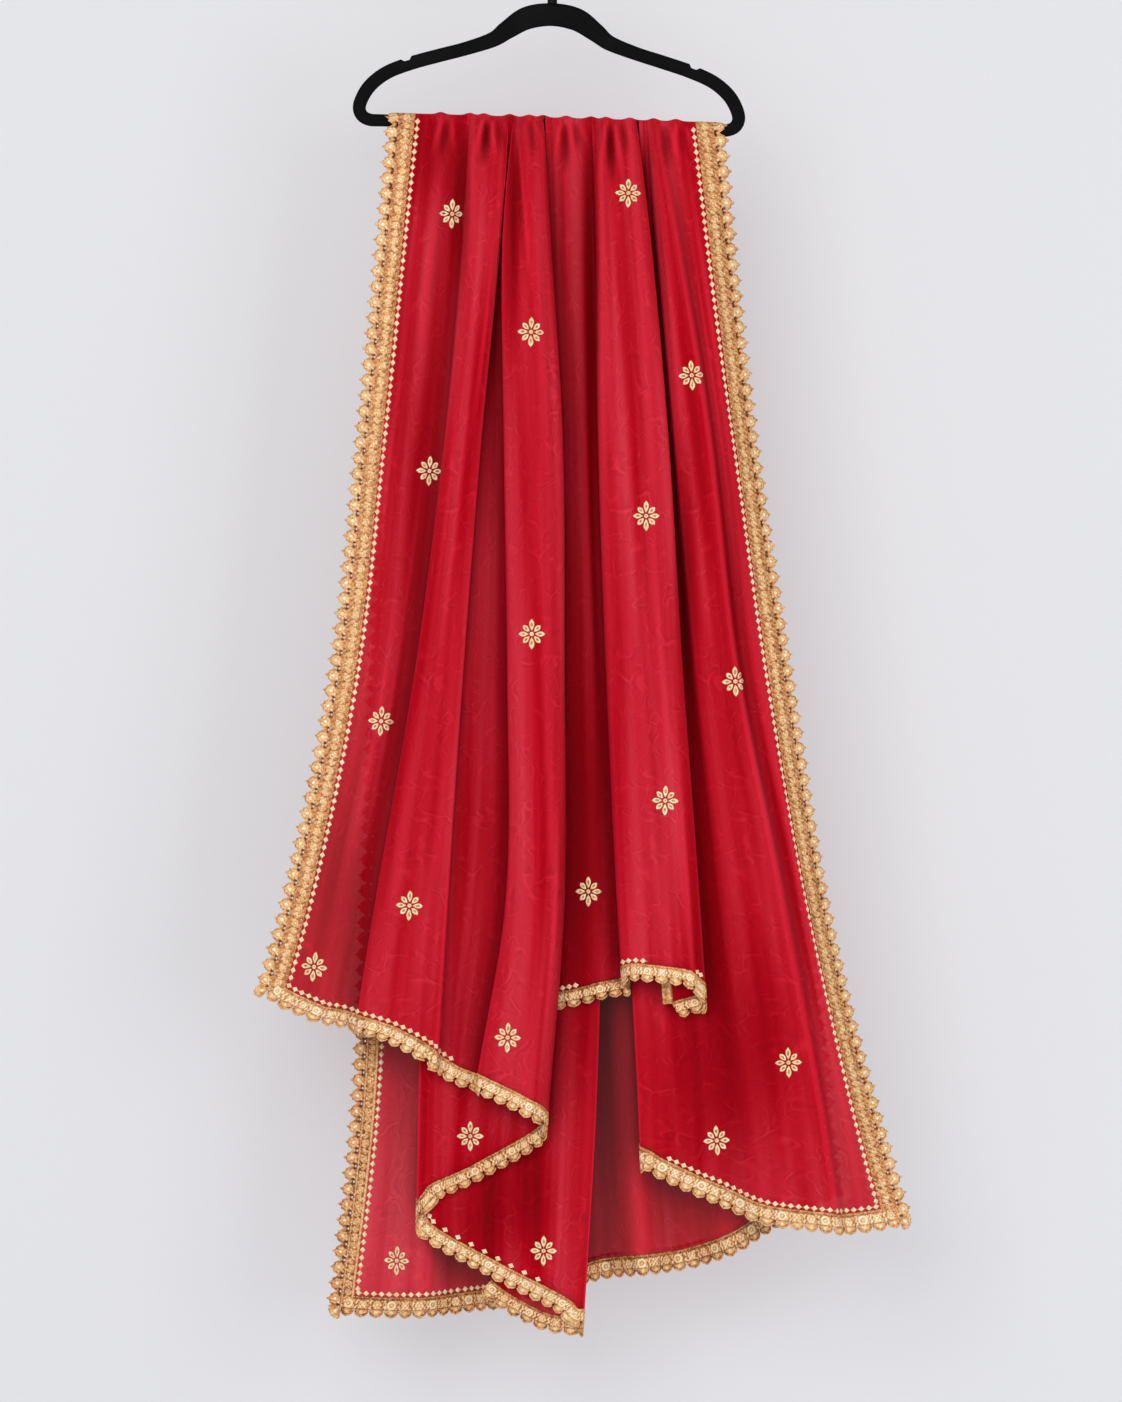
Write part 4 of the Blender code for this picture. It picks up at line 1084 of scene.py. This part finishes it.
def flower_petals():
    """Points and faces of one buti about the origin: (across, down, height), with a tone for each point."""
    domes = []
    for petal in range(8):
        tip = PETAL_TIPS[petal % 4]
        long = (tip - PETAL_START) / 2
        domes.append(petal_dome(tip - long, long, PETAL_HALF, petal * pi / 4, 0.30, 0.85, PETAL_FULLNESS))
    domes.append(petal_dome(0.0, HEART_RADIUS, HEART_RADIUS, 0.0, 0.7, 0.0, 0.0))
    points, tones = (np.concatenate(parts) for parts in zip(*domes))
    top = PETAL_SIDES * len(PETAL_RINGS)
    last = top - PETAL_SIDES
    one = ring_walls(len(PETAL_RINGS), PETAL_SIDES)
    one += [[last + step, last + (step + 1) % PETAL_SIDES, top] for step in range(PETAL_SIDES)]
    one.append(list(range(PETAL_SIDES))[::-1])
    faces = [[corner + dome * (top + 1) for corner in face] for dome in range(len(domes)) for face in one]
    return points, faces, tones


def run_table(stretch, u, drop):
    """(u, distance across the cloth) for a stretch of cloth round one place."""
    trial = np.linspace(max(u - 1.5, 0.0), min(u + 1.5, stretch.last), 120)
    lengths = lengths_of(stretch.point(trial, np.full(len(trial), drop)))
    return trial, lengths - np.interp(u, trial, lengths)


def add_flowers(name, spots, face, material):
    """One buti at each place, bent to the cloth: (stretch, u, drop, turn). face is -1 for the front."""
    shape, one, tone = flower_petals()
    points, faces, tones = [], [], []
    for index, (stretch, u, drop, turn) in enumerate(spots):
        trial, run = run_table(stretch, u, drop)
        here = (np.array([u]), np.array([drop]))
        level = unit(stretch.across(*here)[0])
        steep = stretch.down(*here)[0]
        drift = float(np.dot(steep, level))
        fall = float(np.linalg.norm(steep - drift * level))
        across = shape[:, 0] * cos(turn) - shape[:, 1] * sin(turn)
        down = (shape[:, 0] * sin(turn) + shape[:, 1] * cos(turn)) / fall
        u_there = np.interp(across - down * drift, run, trial)
        out = stretch.outward(u_there, drop + down)
        middle = stretch.outward(*here)[0]
        way = 1.0 if middle[1] * face > 0 else -1.0
        lifted = (shape[:, 2] + CLOTH_WALL / 2 - 0.1)[:, None]
        points.append(stretch.point(u_there, drop + down) + way * out * lifted)
        turned_over = np.dot(np.cross(level, (0.0, 0.0, -1.0)), way * middle) < 0
        start = index * len(shape)
        order = -1 if turned_over else 1
        faces += [[start + corner for corner in petal_face[::order]] for petal_face in one]
        tones.append(tone)
    piece = add_mesh(name, np.concatenate(points), faces, material)
    set_attribute(piece.data, "tone", np.concatenate(tones))
    return piece


# Butis by x, drop and turn in degrees: those that show from the front, and those on the back's outside.
Spot = namedtuple("Spot", "x drop turn")
FRONT_SPOTS = (
    Spot(-114, 112, 2),
    Spot(84, 87, 0),
    Spot(-25, 246, 2),
    Spot(156, 293, -4),
    Spot(-141, 401, 3),
    Spot(103, 452, 0),
    Spot(-25, 585, 0),
    Spot(-194, 683, 4),
    Spot(205, 638, -3),
    Spot(126, 772, 2),
    Spot(-162, 890, 3),
    Spot(38, 875, 0),
    Spot(-271, 960, 7),
    Spot(-52, 1038, 2),
    Spot(263, 1067, -2),
    Spot(183, 1156, -4),
    Spot(-95, 1151, 0),
    Spot(-12, 1281, 1),
    Spot(-179, 1295, 2),
)
BACK_SPOTS = (
    Spot(-110, 130, 4),
    Spot(70, 170, 8),
    Spot(-20, 330, -6),
    Spot(130, 400, 5),
    Spot(-120, 470, 3),
    Spot(50, 560, 9),
    Spot(-50, 730, -5),
    Spot(180, 760, 6),
    Spot(-150, 860, 0),
    Spot(90, 930, 8),
    Spot(-20, 1090, 5),
    Spot(220, 1110, -4),
)


def find_spot(stretches, spot, face):
    """The place on the cloth that shows at a spot: the one furthest out on that face."""
    found = []
    for stretch in stretches:
        u = np.linspace(0.0, stretch.last, 1500)
        points = stretch.point(u, np.full(len(u), float(spot.drop)))
        near = (np.abs(points[:, 0] - spot.x) < 1.0) & (spot.drop < stretch.hem(u) - 12.0)
        found += [(face * points[index, 1], stretch, u[index]) for index in np.nonzero(near)[0]]
    _, stretch, u = max(found, key=lambda row: row[0])
    return stretch, float(u), float(spot.drop), radians(spot.turn)


# Hanger

# The centre line of the frame's right half, from the arch round to the bar, and its width there.
Arm = namedtuple("Arm", "across down width")
HALF_HANGER = (
    Arm(0, 0.8, 26),
    Arm(28, 5.5, 26),
    Arm(50, 19.5, 21.5),
    Arm(66, 31, 17.5),
    Arm(96, 42, 15.5),
    Arm(127, 51, 15.5),
    Arm(158, 60.5, 15.5),
    Arm(185, 72, 15.5),
    Arm(204, 88, 15.5),
    Arm(214, 107, 15),
    Arm(213, 119, 14.5),
    Arm(204, 125.4, 14.2),
    Arm(187, BAR_DROP + 0.7, 13.9),
    Arm(120, BAR_DROP, BAR_HEIGHT),
    Arm(60, BAR_DROP, BAR_HEIGHT),
)


def hanger_ring(steps):
    """The hanger's centre line, smoothed: rows of (x, down, width), once round."""
    left = [Arm(-arm.across, arm.down, arm.width) for arm in HALF_HANGER[1:]]
    ring = np.array(list(HALF_HANGER) + [Arm(0, BAR_DROP, BAR_HEIGHT)] + left[::-1], float)
    before, after, beyond = (np.roll(ring, -shift, axis=0) for shift in (-1, 1, 2))
    pulls = (after - before) / 2, (beyond - ring) / 2
    rows = [hermite(ring, after, *pulls, step / steps) for step in range(steps)]
    return np.stack(rows, axis=1).reshape(-1, 3)


def tilted(points):
    """Points of the hanger's own plane, turned by its tilt about the hook."""
    x, y, z = points.T
    return np.stack((x * cos(TILT) + z * sin(TILT), y, -x * sin(TILT) + z * cos(TILT)), axis=1)


def add_hanger(material):
    """The flat frame with rounded edges and a strap notch in the top of each arm."""
    ring = hanger_ring(10)
    run = unit(np.roll(ring, -1, axis=0)[:, :2] - np.roll(ring, 1, axis=0)[:, :2])
    normal = np.stack((run[:, 1], -run[:, 0]), axis=1)
    from_notch = np.abs(np.abs(ring[:, 0]) - NOTCH_X) / NOTCH_HALF
    notch = NOTCH_DEPTH * np.clip(1.6 - from_notch ** 4, 0.0, 1.0) * (ring[:, 1] < NOTCHED_ABOVE)
    sides = 20
    points = []
    for side in range(sides):
        c, s = cos(2 * pi * side / sides), sin(2 * pi * side / sides)
        out = np.sign(c) * abs(c) ** 0.45
        deep = np.sign(s) * abs(s) ** 0.55 * HANGER_DEPTH / 2
        reach = ring[:, 2] / 2 * out - (notch if c > 0.3 else 0.0)
        x = ring[:, 0] + normal[:, 0] * reach
        down = ring[:, 1] + normal[:, 1] * reach
        points.append(np.stack((x, np.full(len(x), deep), ARCH_CENTRE_Z - down), axis=1))
    points = np.stack(points, axis=1).reshape(-1, 3)
    walls = np.array(ring_walls(len(ring) + 1, sides)) % len(points)
    piece = add_mesh("hanger_shell", tilted(points), walls.tolist(), material)
    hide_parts("hanger_frame")
    return piece


# Materials


class Nodes:
    """A material's nodes, built one call each."""

    def __init__(self, name):
        self.material = bpy.data.materials.new(name)
        self.material.use_nodes = True
        self.tree = self.material.node_tree
        self.shader = self.tree.nodes["Principled BSDF"]

    def add(self, kind, inputs=(), **settings):
        node = self.tree.nodes.new(kind)
        for key, value in settings.items():
            setattr(node, key, value)
        for key, value in dict(inputs).items():
            if isinstance(value, bpy.types.NodeSocket):
                self.tree.links.new(value, node.inputs[key])
            else:
                node.inputs[key].default_value = value
        return node

    def math(self, operation, first, second=0.0, clamp=False):
        node = self.add("ShaderNodeMath", {0: first, 1: second}, operation=operation, use_clamp=clamp)
        return node.outputs[0]

    def plus(self, first, second):
        return self.math("ADD", first, second)

    def minus(self, first, second, clamp=False):
        return self.math("SUBTRACT", first, second, clamp)

    def times(self, first, second, clamp=False):
        return self.math("MULTIPLY", first, second, clamp)

    def swing(self, value, middle, share, clamp=False):
        """How far a value is from its middle, times share."""
        return self.times(self.minus(value, middle), share, clamp)

    def vector_math(self, operation, inputs):
        return self.add("ShaderNodeVectorMath", inputs, operation=operation).outputs[0]

    def scaled(self, vector, scale):
        return self.add("ShaderNodeMapping", {"Vector": vector, "Scale": scale}).outputs[0]

    def noise(self, vector, scale, detail, output="Fac"):
        inputs = {"Vector": vector, "Scale": scale, "Detail": detail}
        return self.add("ShaderNodeTexNoise", inputs).outputs[output]

    def cells(self, inputs, **settings):
        """A Voronoi pattern's outputs."""
        return self.add("ShaderNodeTexVoronoi", inputs, **settings).outputs

    def attribute(self, name):
        return self.add("ShaderNodeAttribute", attribute_name=name).outputs["Fac"]

    def place(self):
        """The place on the piece, in metres."""
        return self.add("ShaderNodeTexCoord").outputs["Object"]

    def mix(self, share, first, second):
        node = self.add("ShaderNodeMix", {0: share, 6: first, 7: second}, data_type="RGBA")
        return node.outputs[2]

    def set(self, values):
        for key, value in values.items():
            self.shader.inputs[key].default_value = value

    def plug(self, socket, output):
        self.tree.links.new(output, self.shader.inputs[socket])

    def emboss(self, relief, strength, distance):
        """Bump the surface by a relief."""
        inputs = {"Height": relief, "Strength": strength, "Distance": distance}
        self.plug("Normal", self.add("ShaderNodeBump", inputs).outputs[0])

    def ramp(self, factor, stops):
        """A colour ramp. Each stop is its position, then red, green and blue."""
        node = self.add("ShaderNodeValToRGB", {0: factor})
        ramp = node.color_ramp
        ramp.elements[0].position, ramp.elements[0].color = stops[0][0], stops[0][1:] + (1.0,)
        ramp.elements[1].position, ramp.elements[1].color = stops[-1][0], stops[-1][1:] + (1.0,)
        for position, *colour in stops[1:-1]:
            ramp.elements.new(position).color = colour + [1.0]
        return node.outputs[0]


def red_material():
    """Sheer crimson satin: pressed-in crinkles, a fine weave, soft bands of painted sheen down its length,
    painted shade in its folds and a painted highlight on fold edges.
    """
    nodes = Nodes("red_sheer_cloth")
    uv = nodes.add("ShaderNodeUVMap", uv_map="cloth").outputs[0]
    # The bands are painted sheen: noise shifts the colour toward pink in soft bands down the cloth.
    bands = nodes.noise(nodes.scaled(uv, (34.0, 1.5, 1.0)), 1.0, 2.0)
    streaks = nodes.noise(nodes.scaled(uv, (150.0, 3.0, 1.0)), 1.0, 2.0)
    # satin is the painted shade (below 0) and painted sheen (above 0) from the patches.
    satin = nodes.attribute("satin")
    zone = nodes.plus(bands, nodes.swing(streaks, 0.5, 0.20))
    zone = nodes.plus(zone, nodes.times(satin, 0.34))

    # The crinkles are raised lines with a groove on each side, where patches let them show.
    drift = nodes.noise(uv, 26.0, 1.5, "Color")
    aside = nodes.vector_math("SUBTRACT", {0: drift, 1: (0.5, 0.5, 0.5)})
    aside = nodes.vector_math("MULTIPLY", {0: aside, 1: (0.05, 0.05, 0.0)})
    grain = nodes.scaled(nodes.vector_math("ADD", {0: uv, 1: aside}), (1.0, 0.55, 1.0))
    raised, sunk = 0.0, 0.0
    for scale, strength in ((46.0, 1.0), (83.0, 0.7)):
        cells = nodes.cells({"Vector": grain, "Scale": scale}, feature="DISTANCE_TO_EDGE")
        edge = nodes.times(cells["Distance"], 46.0 / scale * 22.0)
        line = nodes.minus(1.0, edge, clamp=True)
        groove = nodes.minus(1.0, nodes.math("ABSOLUTE", nodes.minus(edge, 1.7)), clamp=True)
        patches = nodes.noise(uv, scale * 0.9, 1.0)
        shown = nodes.swing(patches, 0.47, 6.0 * strength, clamp=True)
        raised = nodes.math("MAXIMUM", raised, nodes.times(line, shown))
        sunk = nodes.math("MAXIMUM", sunk, nodes.times(groove, shown))
    # The crinkles' raised lines get a painted highlight.
    zone = nodes.plus(zone, nodes.times(raised, 0.06))
    # The ramp runs from deep red in painted shade to pink in painted sheen.
    reds = nodes.ramp(zone, (
        (0.12, 0.28, 0.001, 0.003),
        (0.36, 0.53, 0.001, 0.009),
        (0.48, 0.62, 0.009, 0.021),
        (0.62, 0.74, 0.027, 0.049),
        (0.80, 0.84, 0.055, 0.080),
    ))

    # Painted highlight on the crinkles' raised lines and painted shade in their grooves, over the real bump.
    pressed = nodes.plus(0.94, nodes.times(nodes.minus(raised, sunk), 0.15))
    reds = nodes.vector_math("SCALE", {0: reds, "Scale": pressed})
    # A painted highlight: bright red along the fold edges, by the crest attribute.
    crest = nodes.times(nodes.attribute("crest"), 0.8, clamp=True)
    reds = nodes.mix(crest, reds, (0.95, 0.02, 0.05, 1.0))
    threads = nodes.noise(nodes.scaled(uv, (2600.0, 90.0, 1.0)), 1.0, 1.0)
    woven = nodes.mix(nodes.times(threads, 0.12), reds, (0.36, 0.0, 0.008, 1.0))
    # Painted shade: the colour sinks to deep red where the open attribute and the shade patches say the cloth
    # is shaded.
    light = nodes.ramp(nodes.plus(nodes.attribute("open"), nodes.times(satin, 0.3)), (
        (0.15, 0.0, 0.0, 0.0),
        (0.55, 0.36, 0.36, 0.36),
        (0.80, 0.70, 0.70, 0.70),
        (0.96, 1.0, 1.0, 1.0),
    ))
    nodes.plug("Base Color", nodes.mix(light, (0.20, 0.001, 0.003, 1.0), woven))
    nodes.plug("Roughness", nodes.plus(0.38, nodes.times(streaks, 0.22)))
    nodes.set({
        "Alpha": 0.84,
        "Specular IOR Level": 0.12,
        "Specular Tint": (1.0, 0.16, 0.24, 1.0),
        "Sheen Weight": 0.20,
        "Sheen Roughness": 0.30,
        "Sheen Tint": (1.0, 0.04, 0.08, 1.0),
    })
    nodes.emboss(nodes.plus(raised, nodes.times(threads, 0.05)), 0.30, 0.0008)
    return nodes.material


def gold_material():
    """Embroidery shaded by the mesh's tone, from bronze outlines through gold to a cream fill."""
    nodes = Nodes("gold_embroidery")
    where = nodes.place()
    speckle = nodes.noise(where, 620.0, 2.0)
    drift = nodes.noise(where, 35.0, 2.0)
    stitches = {"Vector": where, "Scale": 430.0, "Randomness": 0.9}
    stitch_colour = nodes.cells(stitches)["Color"]
    gap = nodes.cells(stitches, feature="DISTANCE_TO_EDGE")["Distance"]
    stitch = nodes.add("ShaderNodeSeparateColor", {"Color": stitch_colour}).outputs[0]
    shade = nodes.attribute("tone")
    for source, share in ((speckle, 0.34), (drift, 0.16), (stitch, 0.30)):
        shade = nodes.plus(shade, nodes.swing(source, 0.5, share))
    # The gaps between stitches are painted darker, as painted shade.
    sunk = nodes.minus(1.0, nodes.times(gap, 9.0), clamp=True)
    shade = nodes.minus(shade, nodes.times(sunk, 0.22))
    nodes.plug("Base Color", nodes.ramp(shade, (
        (0.00, 0.085, 0.022, 0.005),
        (0.14, 0.40, 0.130, 0.030),
        (0.30, 0.63, 0.270, 0.080),
        (0.48, 0.79, 0.435, 0.170),
        (0.72, 0.88, 0.64, 0.35),
        (0.97, 1.0, 0.88, 0.66),
    )))
    nodes.plug("Roughness", nodes.plus(0.36, nodes.times(speckle, 0.25)))
    nodes.set({"Metallic": 0.20, "Specular IOR Level": 0.45})
    threads = nodes.noise(nodes.scaled(where, (1500.0, 1500.0, 420.0)), 1.0, 1.0)
    nodes.emboss(nodes.plus(nodes.times(speckle, 0.6), nodes.times(threads, 0.5)), 0.6, 0.0006)
    return nodes.material


def grey(level):
    return (level, level, level, 1.0)


def black_material(name, colour, worn_colour, roughness, grain, sheen):
    """Matte or satin black with a fine grain and faint wear."""
    nodes = Nodes(name)
    where = nodes.place()
    fine = nodes.noise(where, grain, 3.0)
    wear = nodes.ramp(nodes.noise(where, 22.0, 4.0), ((0.45, 0.0, 0.0, 0.0), (0.75, 1.0, 1.0, 1.0)))
    nodes.plug("Base Color", nodes.mix(wear, colour, worn_colour))
    nodes.plug("Roughness", nodes.plus(roughness, nodes.times(fine, 0.2)))
    nodes.set({"Specular IOR Level": 0.07, "Sheen Weight": sheen})
    nodes.emboss(fine, 0.35, 0.0004)
    return nodes.material


def plain_nodes(name, colour):
    """The nodes of a pale painted surface."""
    nodes = Nodes(name)
    darker = tuple(0.985 * part for part in colour[:3]) + (1.0,)
    nodes.plug("Base Color", nodes.mix(nodes.noise(nodes.place(), 1.3, 3.0), darker, colour))
    nodes.set({"Roughness": 0.9, "Specular IOR Level": 0.1})
    return nodes


def wall_material():
    """The pale wall. It glows a little, and is clear from behind."""
    nodes = plain_nodes("pale_wall", (0.455, 0.457, 0.468, 1.0))
    nodes.set({"Emission Color": (0.97, 0.975, 1.0, 1.0), "Emission Strength": 0.36})
    clear = nodes.add("ShaderNodeBsdfTransparent").outputs[0]
    behind = nodes.add("ShaderNodeNewGeometry").outputs["Backfacing"]
    mixed = nodes.add("ShaderNodeMixShader", {0: behind, 1: nodes.shader.outputs[0], 2: clear})
    nodes.tree.links.new(mixed.outputs[0], nodes.tree.nodes["Material Output"].inputs["Surface"])
    return nodes.material


# The room, the lights and the camera, in metres


def add_plane(name, corners, material):
    """A flat part of the room, which isn't part of the object."""
    mesh = bpy.data.meshes.new(name)
    mesh.from_pydata(corners, [], [(0, 1, 2, 3)])
    mesh.materials.append(material)
    plane = bpy.data.objects.new(name, mesh)
    bpy.context.collection.objects.link(plane)


def add_light(name, place, target, width, height, watts):
    """A soft box aimed at its target, which the camera doesn't see."""
    light = bpy.data.lights.new(name, "AREA")
    light.shape = "RECTANGLE"
    light.size = width
    light.size_y = height
    light.energy = watts
    lamp = bpy.data.objects.new(name, light)
    lamp.location = place
    lamp.rotation_euler = (Vector(target) - Vector(place)).to_track_quat("-Z", "Y").to_euler()
    lamp.visible_camera = False
    bpy.context.collection.objects.link(lamp)


def set_stage():
    """The room with its lights and the camera."""
    wall = wall_material()
    floor = plain_nodes("pale_floor", (0.74, 0.76, 0.80, 1.0)).material
    add_plane("wall", [(-3, WALL_Y, FLOOR_Z), (3, WALL_Y, FLOOR_Z), (3, WALL_Y, 2), (-3, WALL_Y, 2)], wall)
    add_plane("floor", [(-6, -6, FLOOR_Z), (6, -6, FLOOR_Z), (6, 6, FLOOR_Z), (-6, 6, FLOOR_Z)], floor)
    world = bpy.data.worlds.new("pale_room")
    world.use_nodes = True
    background = world.node_tree.nodes["Background"].inputs
    background["Color"].default_value = (0.93, 0.935, 0.955, 1.0)
    background["Strength"].default_value = 0.57
    scene = bpy.context.scene
    scene.world = world
    scene.view_settings.view_transform = "Standard"
    add_light("key", (-1.15, -4.0, 0.35), (0.0, 0.0, -0.80), 2.4, 2.4, 63)
    add_light("fill", (2.0, -3.0, -0.9), (0.0, 0.0, -0.85), 1.6, 2.0, 28)
    camera = bpy.data.cameras.new("camera")
    camera.sensor_fit = "VERTICAL"
    camera.sensor_height = 36.0
    camera.lens = 181.5
    camera.clip_end = 60.0
    view = bpy.data.objects.new("camera", camera)
    view.location = (0.008, -8.0, -0.855)
    view.rotation_euler = (pi / 2, 0.0, 0.0)
    bpy.context.collection.objects.link(view)
    scene.camera = view


# The whole


def flat_size(stretch, over_bar):
    """A stretch's width, length and area in metres before it was folded, along its cross-sections."""
    u = stretch.columns(COLUMN_SPACING)
    runs = np.linalg.norm(np.diff(stretch.whole_grid(u, 60), axis=1), axis=-1)
    lengths = stretch.hem((u[1:] + u[:-1]) / 2)
    starts = np.where(over_the_bar(u, over_bar), 0.0, HIDDEN_START)
    area = float((runs.mean(axis=0) * lengths * (1.0 - starts)).sum()) * MM * MM
    width = float(runs.sum(axis=1).mean()) * MM
    length = float(lengths.max()) * MM
    return width, length, min(area, width * length)


def dress_hanger():
    """The hanger's new frame, and finishes for its hook and collar."""
    velvet = black_material("hanger_black", (0.0016, 0.0016, 0.0017, 1.0), grey(0.0045), 0.50, 900.0, 0.008)
    satin = black_material("hook_black", grey(0.004), grey(0.010), 0.28, 260.0, 0.0)
    for node in ("hanger_hook", "hook_collar"):
        for material_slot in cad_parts[node].material_slots:
            material_slot.material = satin
    return add_hanger(velvet)


def owner_of(side):
    """The stretch that a side border belongs to."""
    return "back" if "back" in side else side


def add_laces(stretches, sides, hems, trims, gold):
    """The laces down the sides and along the ends, with a fan at each corner."""
    laces = dict.fromkeys(("front_left", "front_middle"), NARROW_HEM_LACE)
    laces.update(dict.fromkeys(("front_right", "back"), HEM_LACE))
    past_hem = {}
    for name, side in sides.items():
        owner = owner_of(name)
        past_side, past_hem[name], corner, side_out, hem_out = corner_of(side, hems[owner], laces[owner])
        lace = SIDE_LACE._replace(overlap=SIDE_OVERLAPS[name])
        edge = add_lace(f"lace_{name}_edge", side, lace, 0.0, past_side, f"lace_{name}_side", gold)
        outer = side.stretch.outward(np.array([side.end]), np.array([side.drops[-1]]))[0]
        fan = add_corner_fan(f"lace_{name}_fan", corner, side_out, hem_out, outer, gold)
        trims[owner] += [edge, fan]
    runs_past = {
        "front_left": (past_hem["front_left"], 0.0),
        "front_middle": (0.0, 0.0),
        "front_right": (0.0, past_hem["front_right"]),
        "back": (past_hem["back_left"], past_hem["back_right"]),
    }
    for name, runs in runs_past.items():
        shaded = MIDDLE_HEM_SHADED if name == "front_middle" else 0.0
        foot = add_lace(f"lace_{name}_foot", hems[name], laces[name], *runs, f"lace_{name}_hem", gold, shaded)
        trims[name].append(foot)
    trims["front_middle"].append(add_turned_edge(stretches["front_middle"], "lace_front_middle_edge", gold))


# A line of beads along a border. spans are lengths along it, and front says that the beads face the front.
BeadLine = namedtuple("BeadLine", "owner border overlap spans front pitch", defaults=(False, BEAD_PITCH))


def add_beads(sides, hems, trims, gold):
    """The bead lines beside the laces, on the cloth's right side and where its lining shows in front."""

    def all_along(border, start):
        return [(start, border.whole - END_GAP)]

    def hem_line(owner, spans, *rest):
        return BeadLine(owner, hems[owner], LACE_OVERLAP, spans, *rest)

    lines = [
        BeadLine(owner_of(name), side, SIDE_OVERLAPS[name], all_along(side, 2 * END_GAP))
        for name, side in sides.items()
    ]
    back_left = sides["back_left"]
    lines += [
        BeadLine("back", back_left, SIDE_OVERLAPS["back_left"], all_along(back_left, 900.0), True),
        hem_line("front_left", [(END_GAP, 250.0)]),
        hem_line("front_left", [(606.0, 636.0)], True),
        hem_line("front_left", [(650.0, 775.0)], True, SPARSE),
        hem_line("front_middle", [(15.0, 32.0), (126.0, 156.0), (213.0, 227.0)], True, CLOSE),
        hem_line("front_right", all_along(hems["front_right"], 60.0)),
        hem_line("back", all_along(hems["back"], END_GAP)),
        hem_line("back", [(END_GAP, 205.0)], True),
    ]
    for index, line in enumerate(lines):
        inset = line.overlap + BEAD_GAP
        trims[line.owner] += add_bead_line(
            f"beads_{index}", line.border, inset, line.spans, line.front, line.pitch, gold
        )


def add_butis(stretches, trims, gold):
    """The butis that show from the front, and those on the back's outside."""
    fronts = [find_spot(stretches.values(), spot, -1) for spot in FRONT_SPOTS]
    for name, stretch in stretches.items():
        found = [place for place in fronts if place[0] is stretch]
        if found:
            trims[name].append(add_flowers(f"butis_{name}", found, -1, gold))
    outside = [find_spot((stretches["back"],), spot, 1) for spot in BACK_SPOTS]
    trims["back"].append(add_flowers("butis_back_outside", outside, 1, gold))


def build():
    """The dressed hanger and the stole, and the flat size of each cloth stretch."""
    hanger = dress_hanger()
    red, gold = red_material(), gold_material()
    stretches = {
        "front_left": Stretch(FRONT_LEFT, LEFT_CREASES, -1, FRONT_PLEAT_DART),
        "front_middle": Stretch(FRONT_MIDDLE, MIDDLE_CREASES, -1),
        "front_right": Stretch(FRONT_RIGHT, RIGHT_CREASES, -1),
        "back": Stretch(BACK, BACK_CREASES, 1),
    }
    over_bar = {
        "front_left": (0.0, FRONT_LEFT_LAST_OVER_BAR),
        "front_middle": (0.0, FRONT_MIDDLE_LAST_OVER_BAR),
        "front_right": (FRONT_RIGHT_FIRST_OVER_BAR, stretches["front_right"].last),
        "back": (0.0, stretches["back"].last),
    }
    surroundings = Surroundings(stretches.values())
    cloths = {
        name: add_cloth(f"stole_{name}", stretch, over_bar[name], f"cloth_{name}", red, surroundings)
        for name, stretch in stretches.items()
    }

    sides = {
        "front_left": SideBorder(stretches["front_left"], -1.0),
        "front_right": SideBorder(stretches["front_right"], 1.0),
        "back_left": SideBorder(stretches["back"], -1.0),
        "back_right": SideBorder(stretches["back"], 1.0),
    }
    hems = {name: HemBorder(stretch) for name, stretch in stretches.items()}
    trims = {name: [] for name in stretches}
    add_laces(stretches, sides, hems, trims, gold)
    add_beads(sides, hems, trims, gold)
    add_butis(stretches, trims, gold)

    for name, stretch in stretches.items():
        width, length, area = flat_size(stretch, over_bar[name])


build()
set_stage()
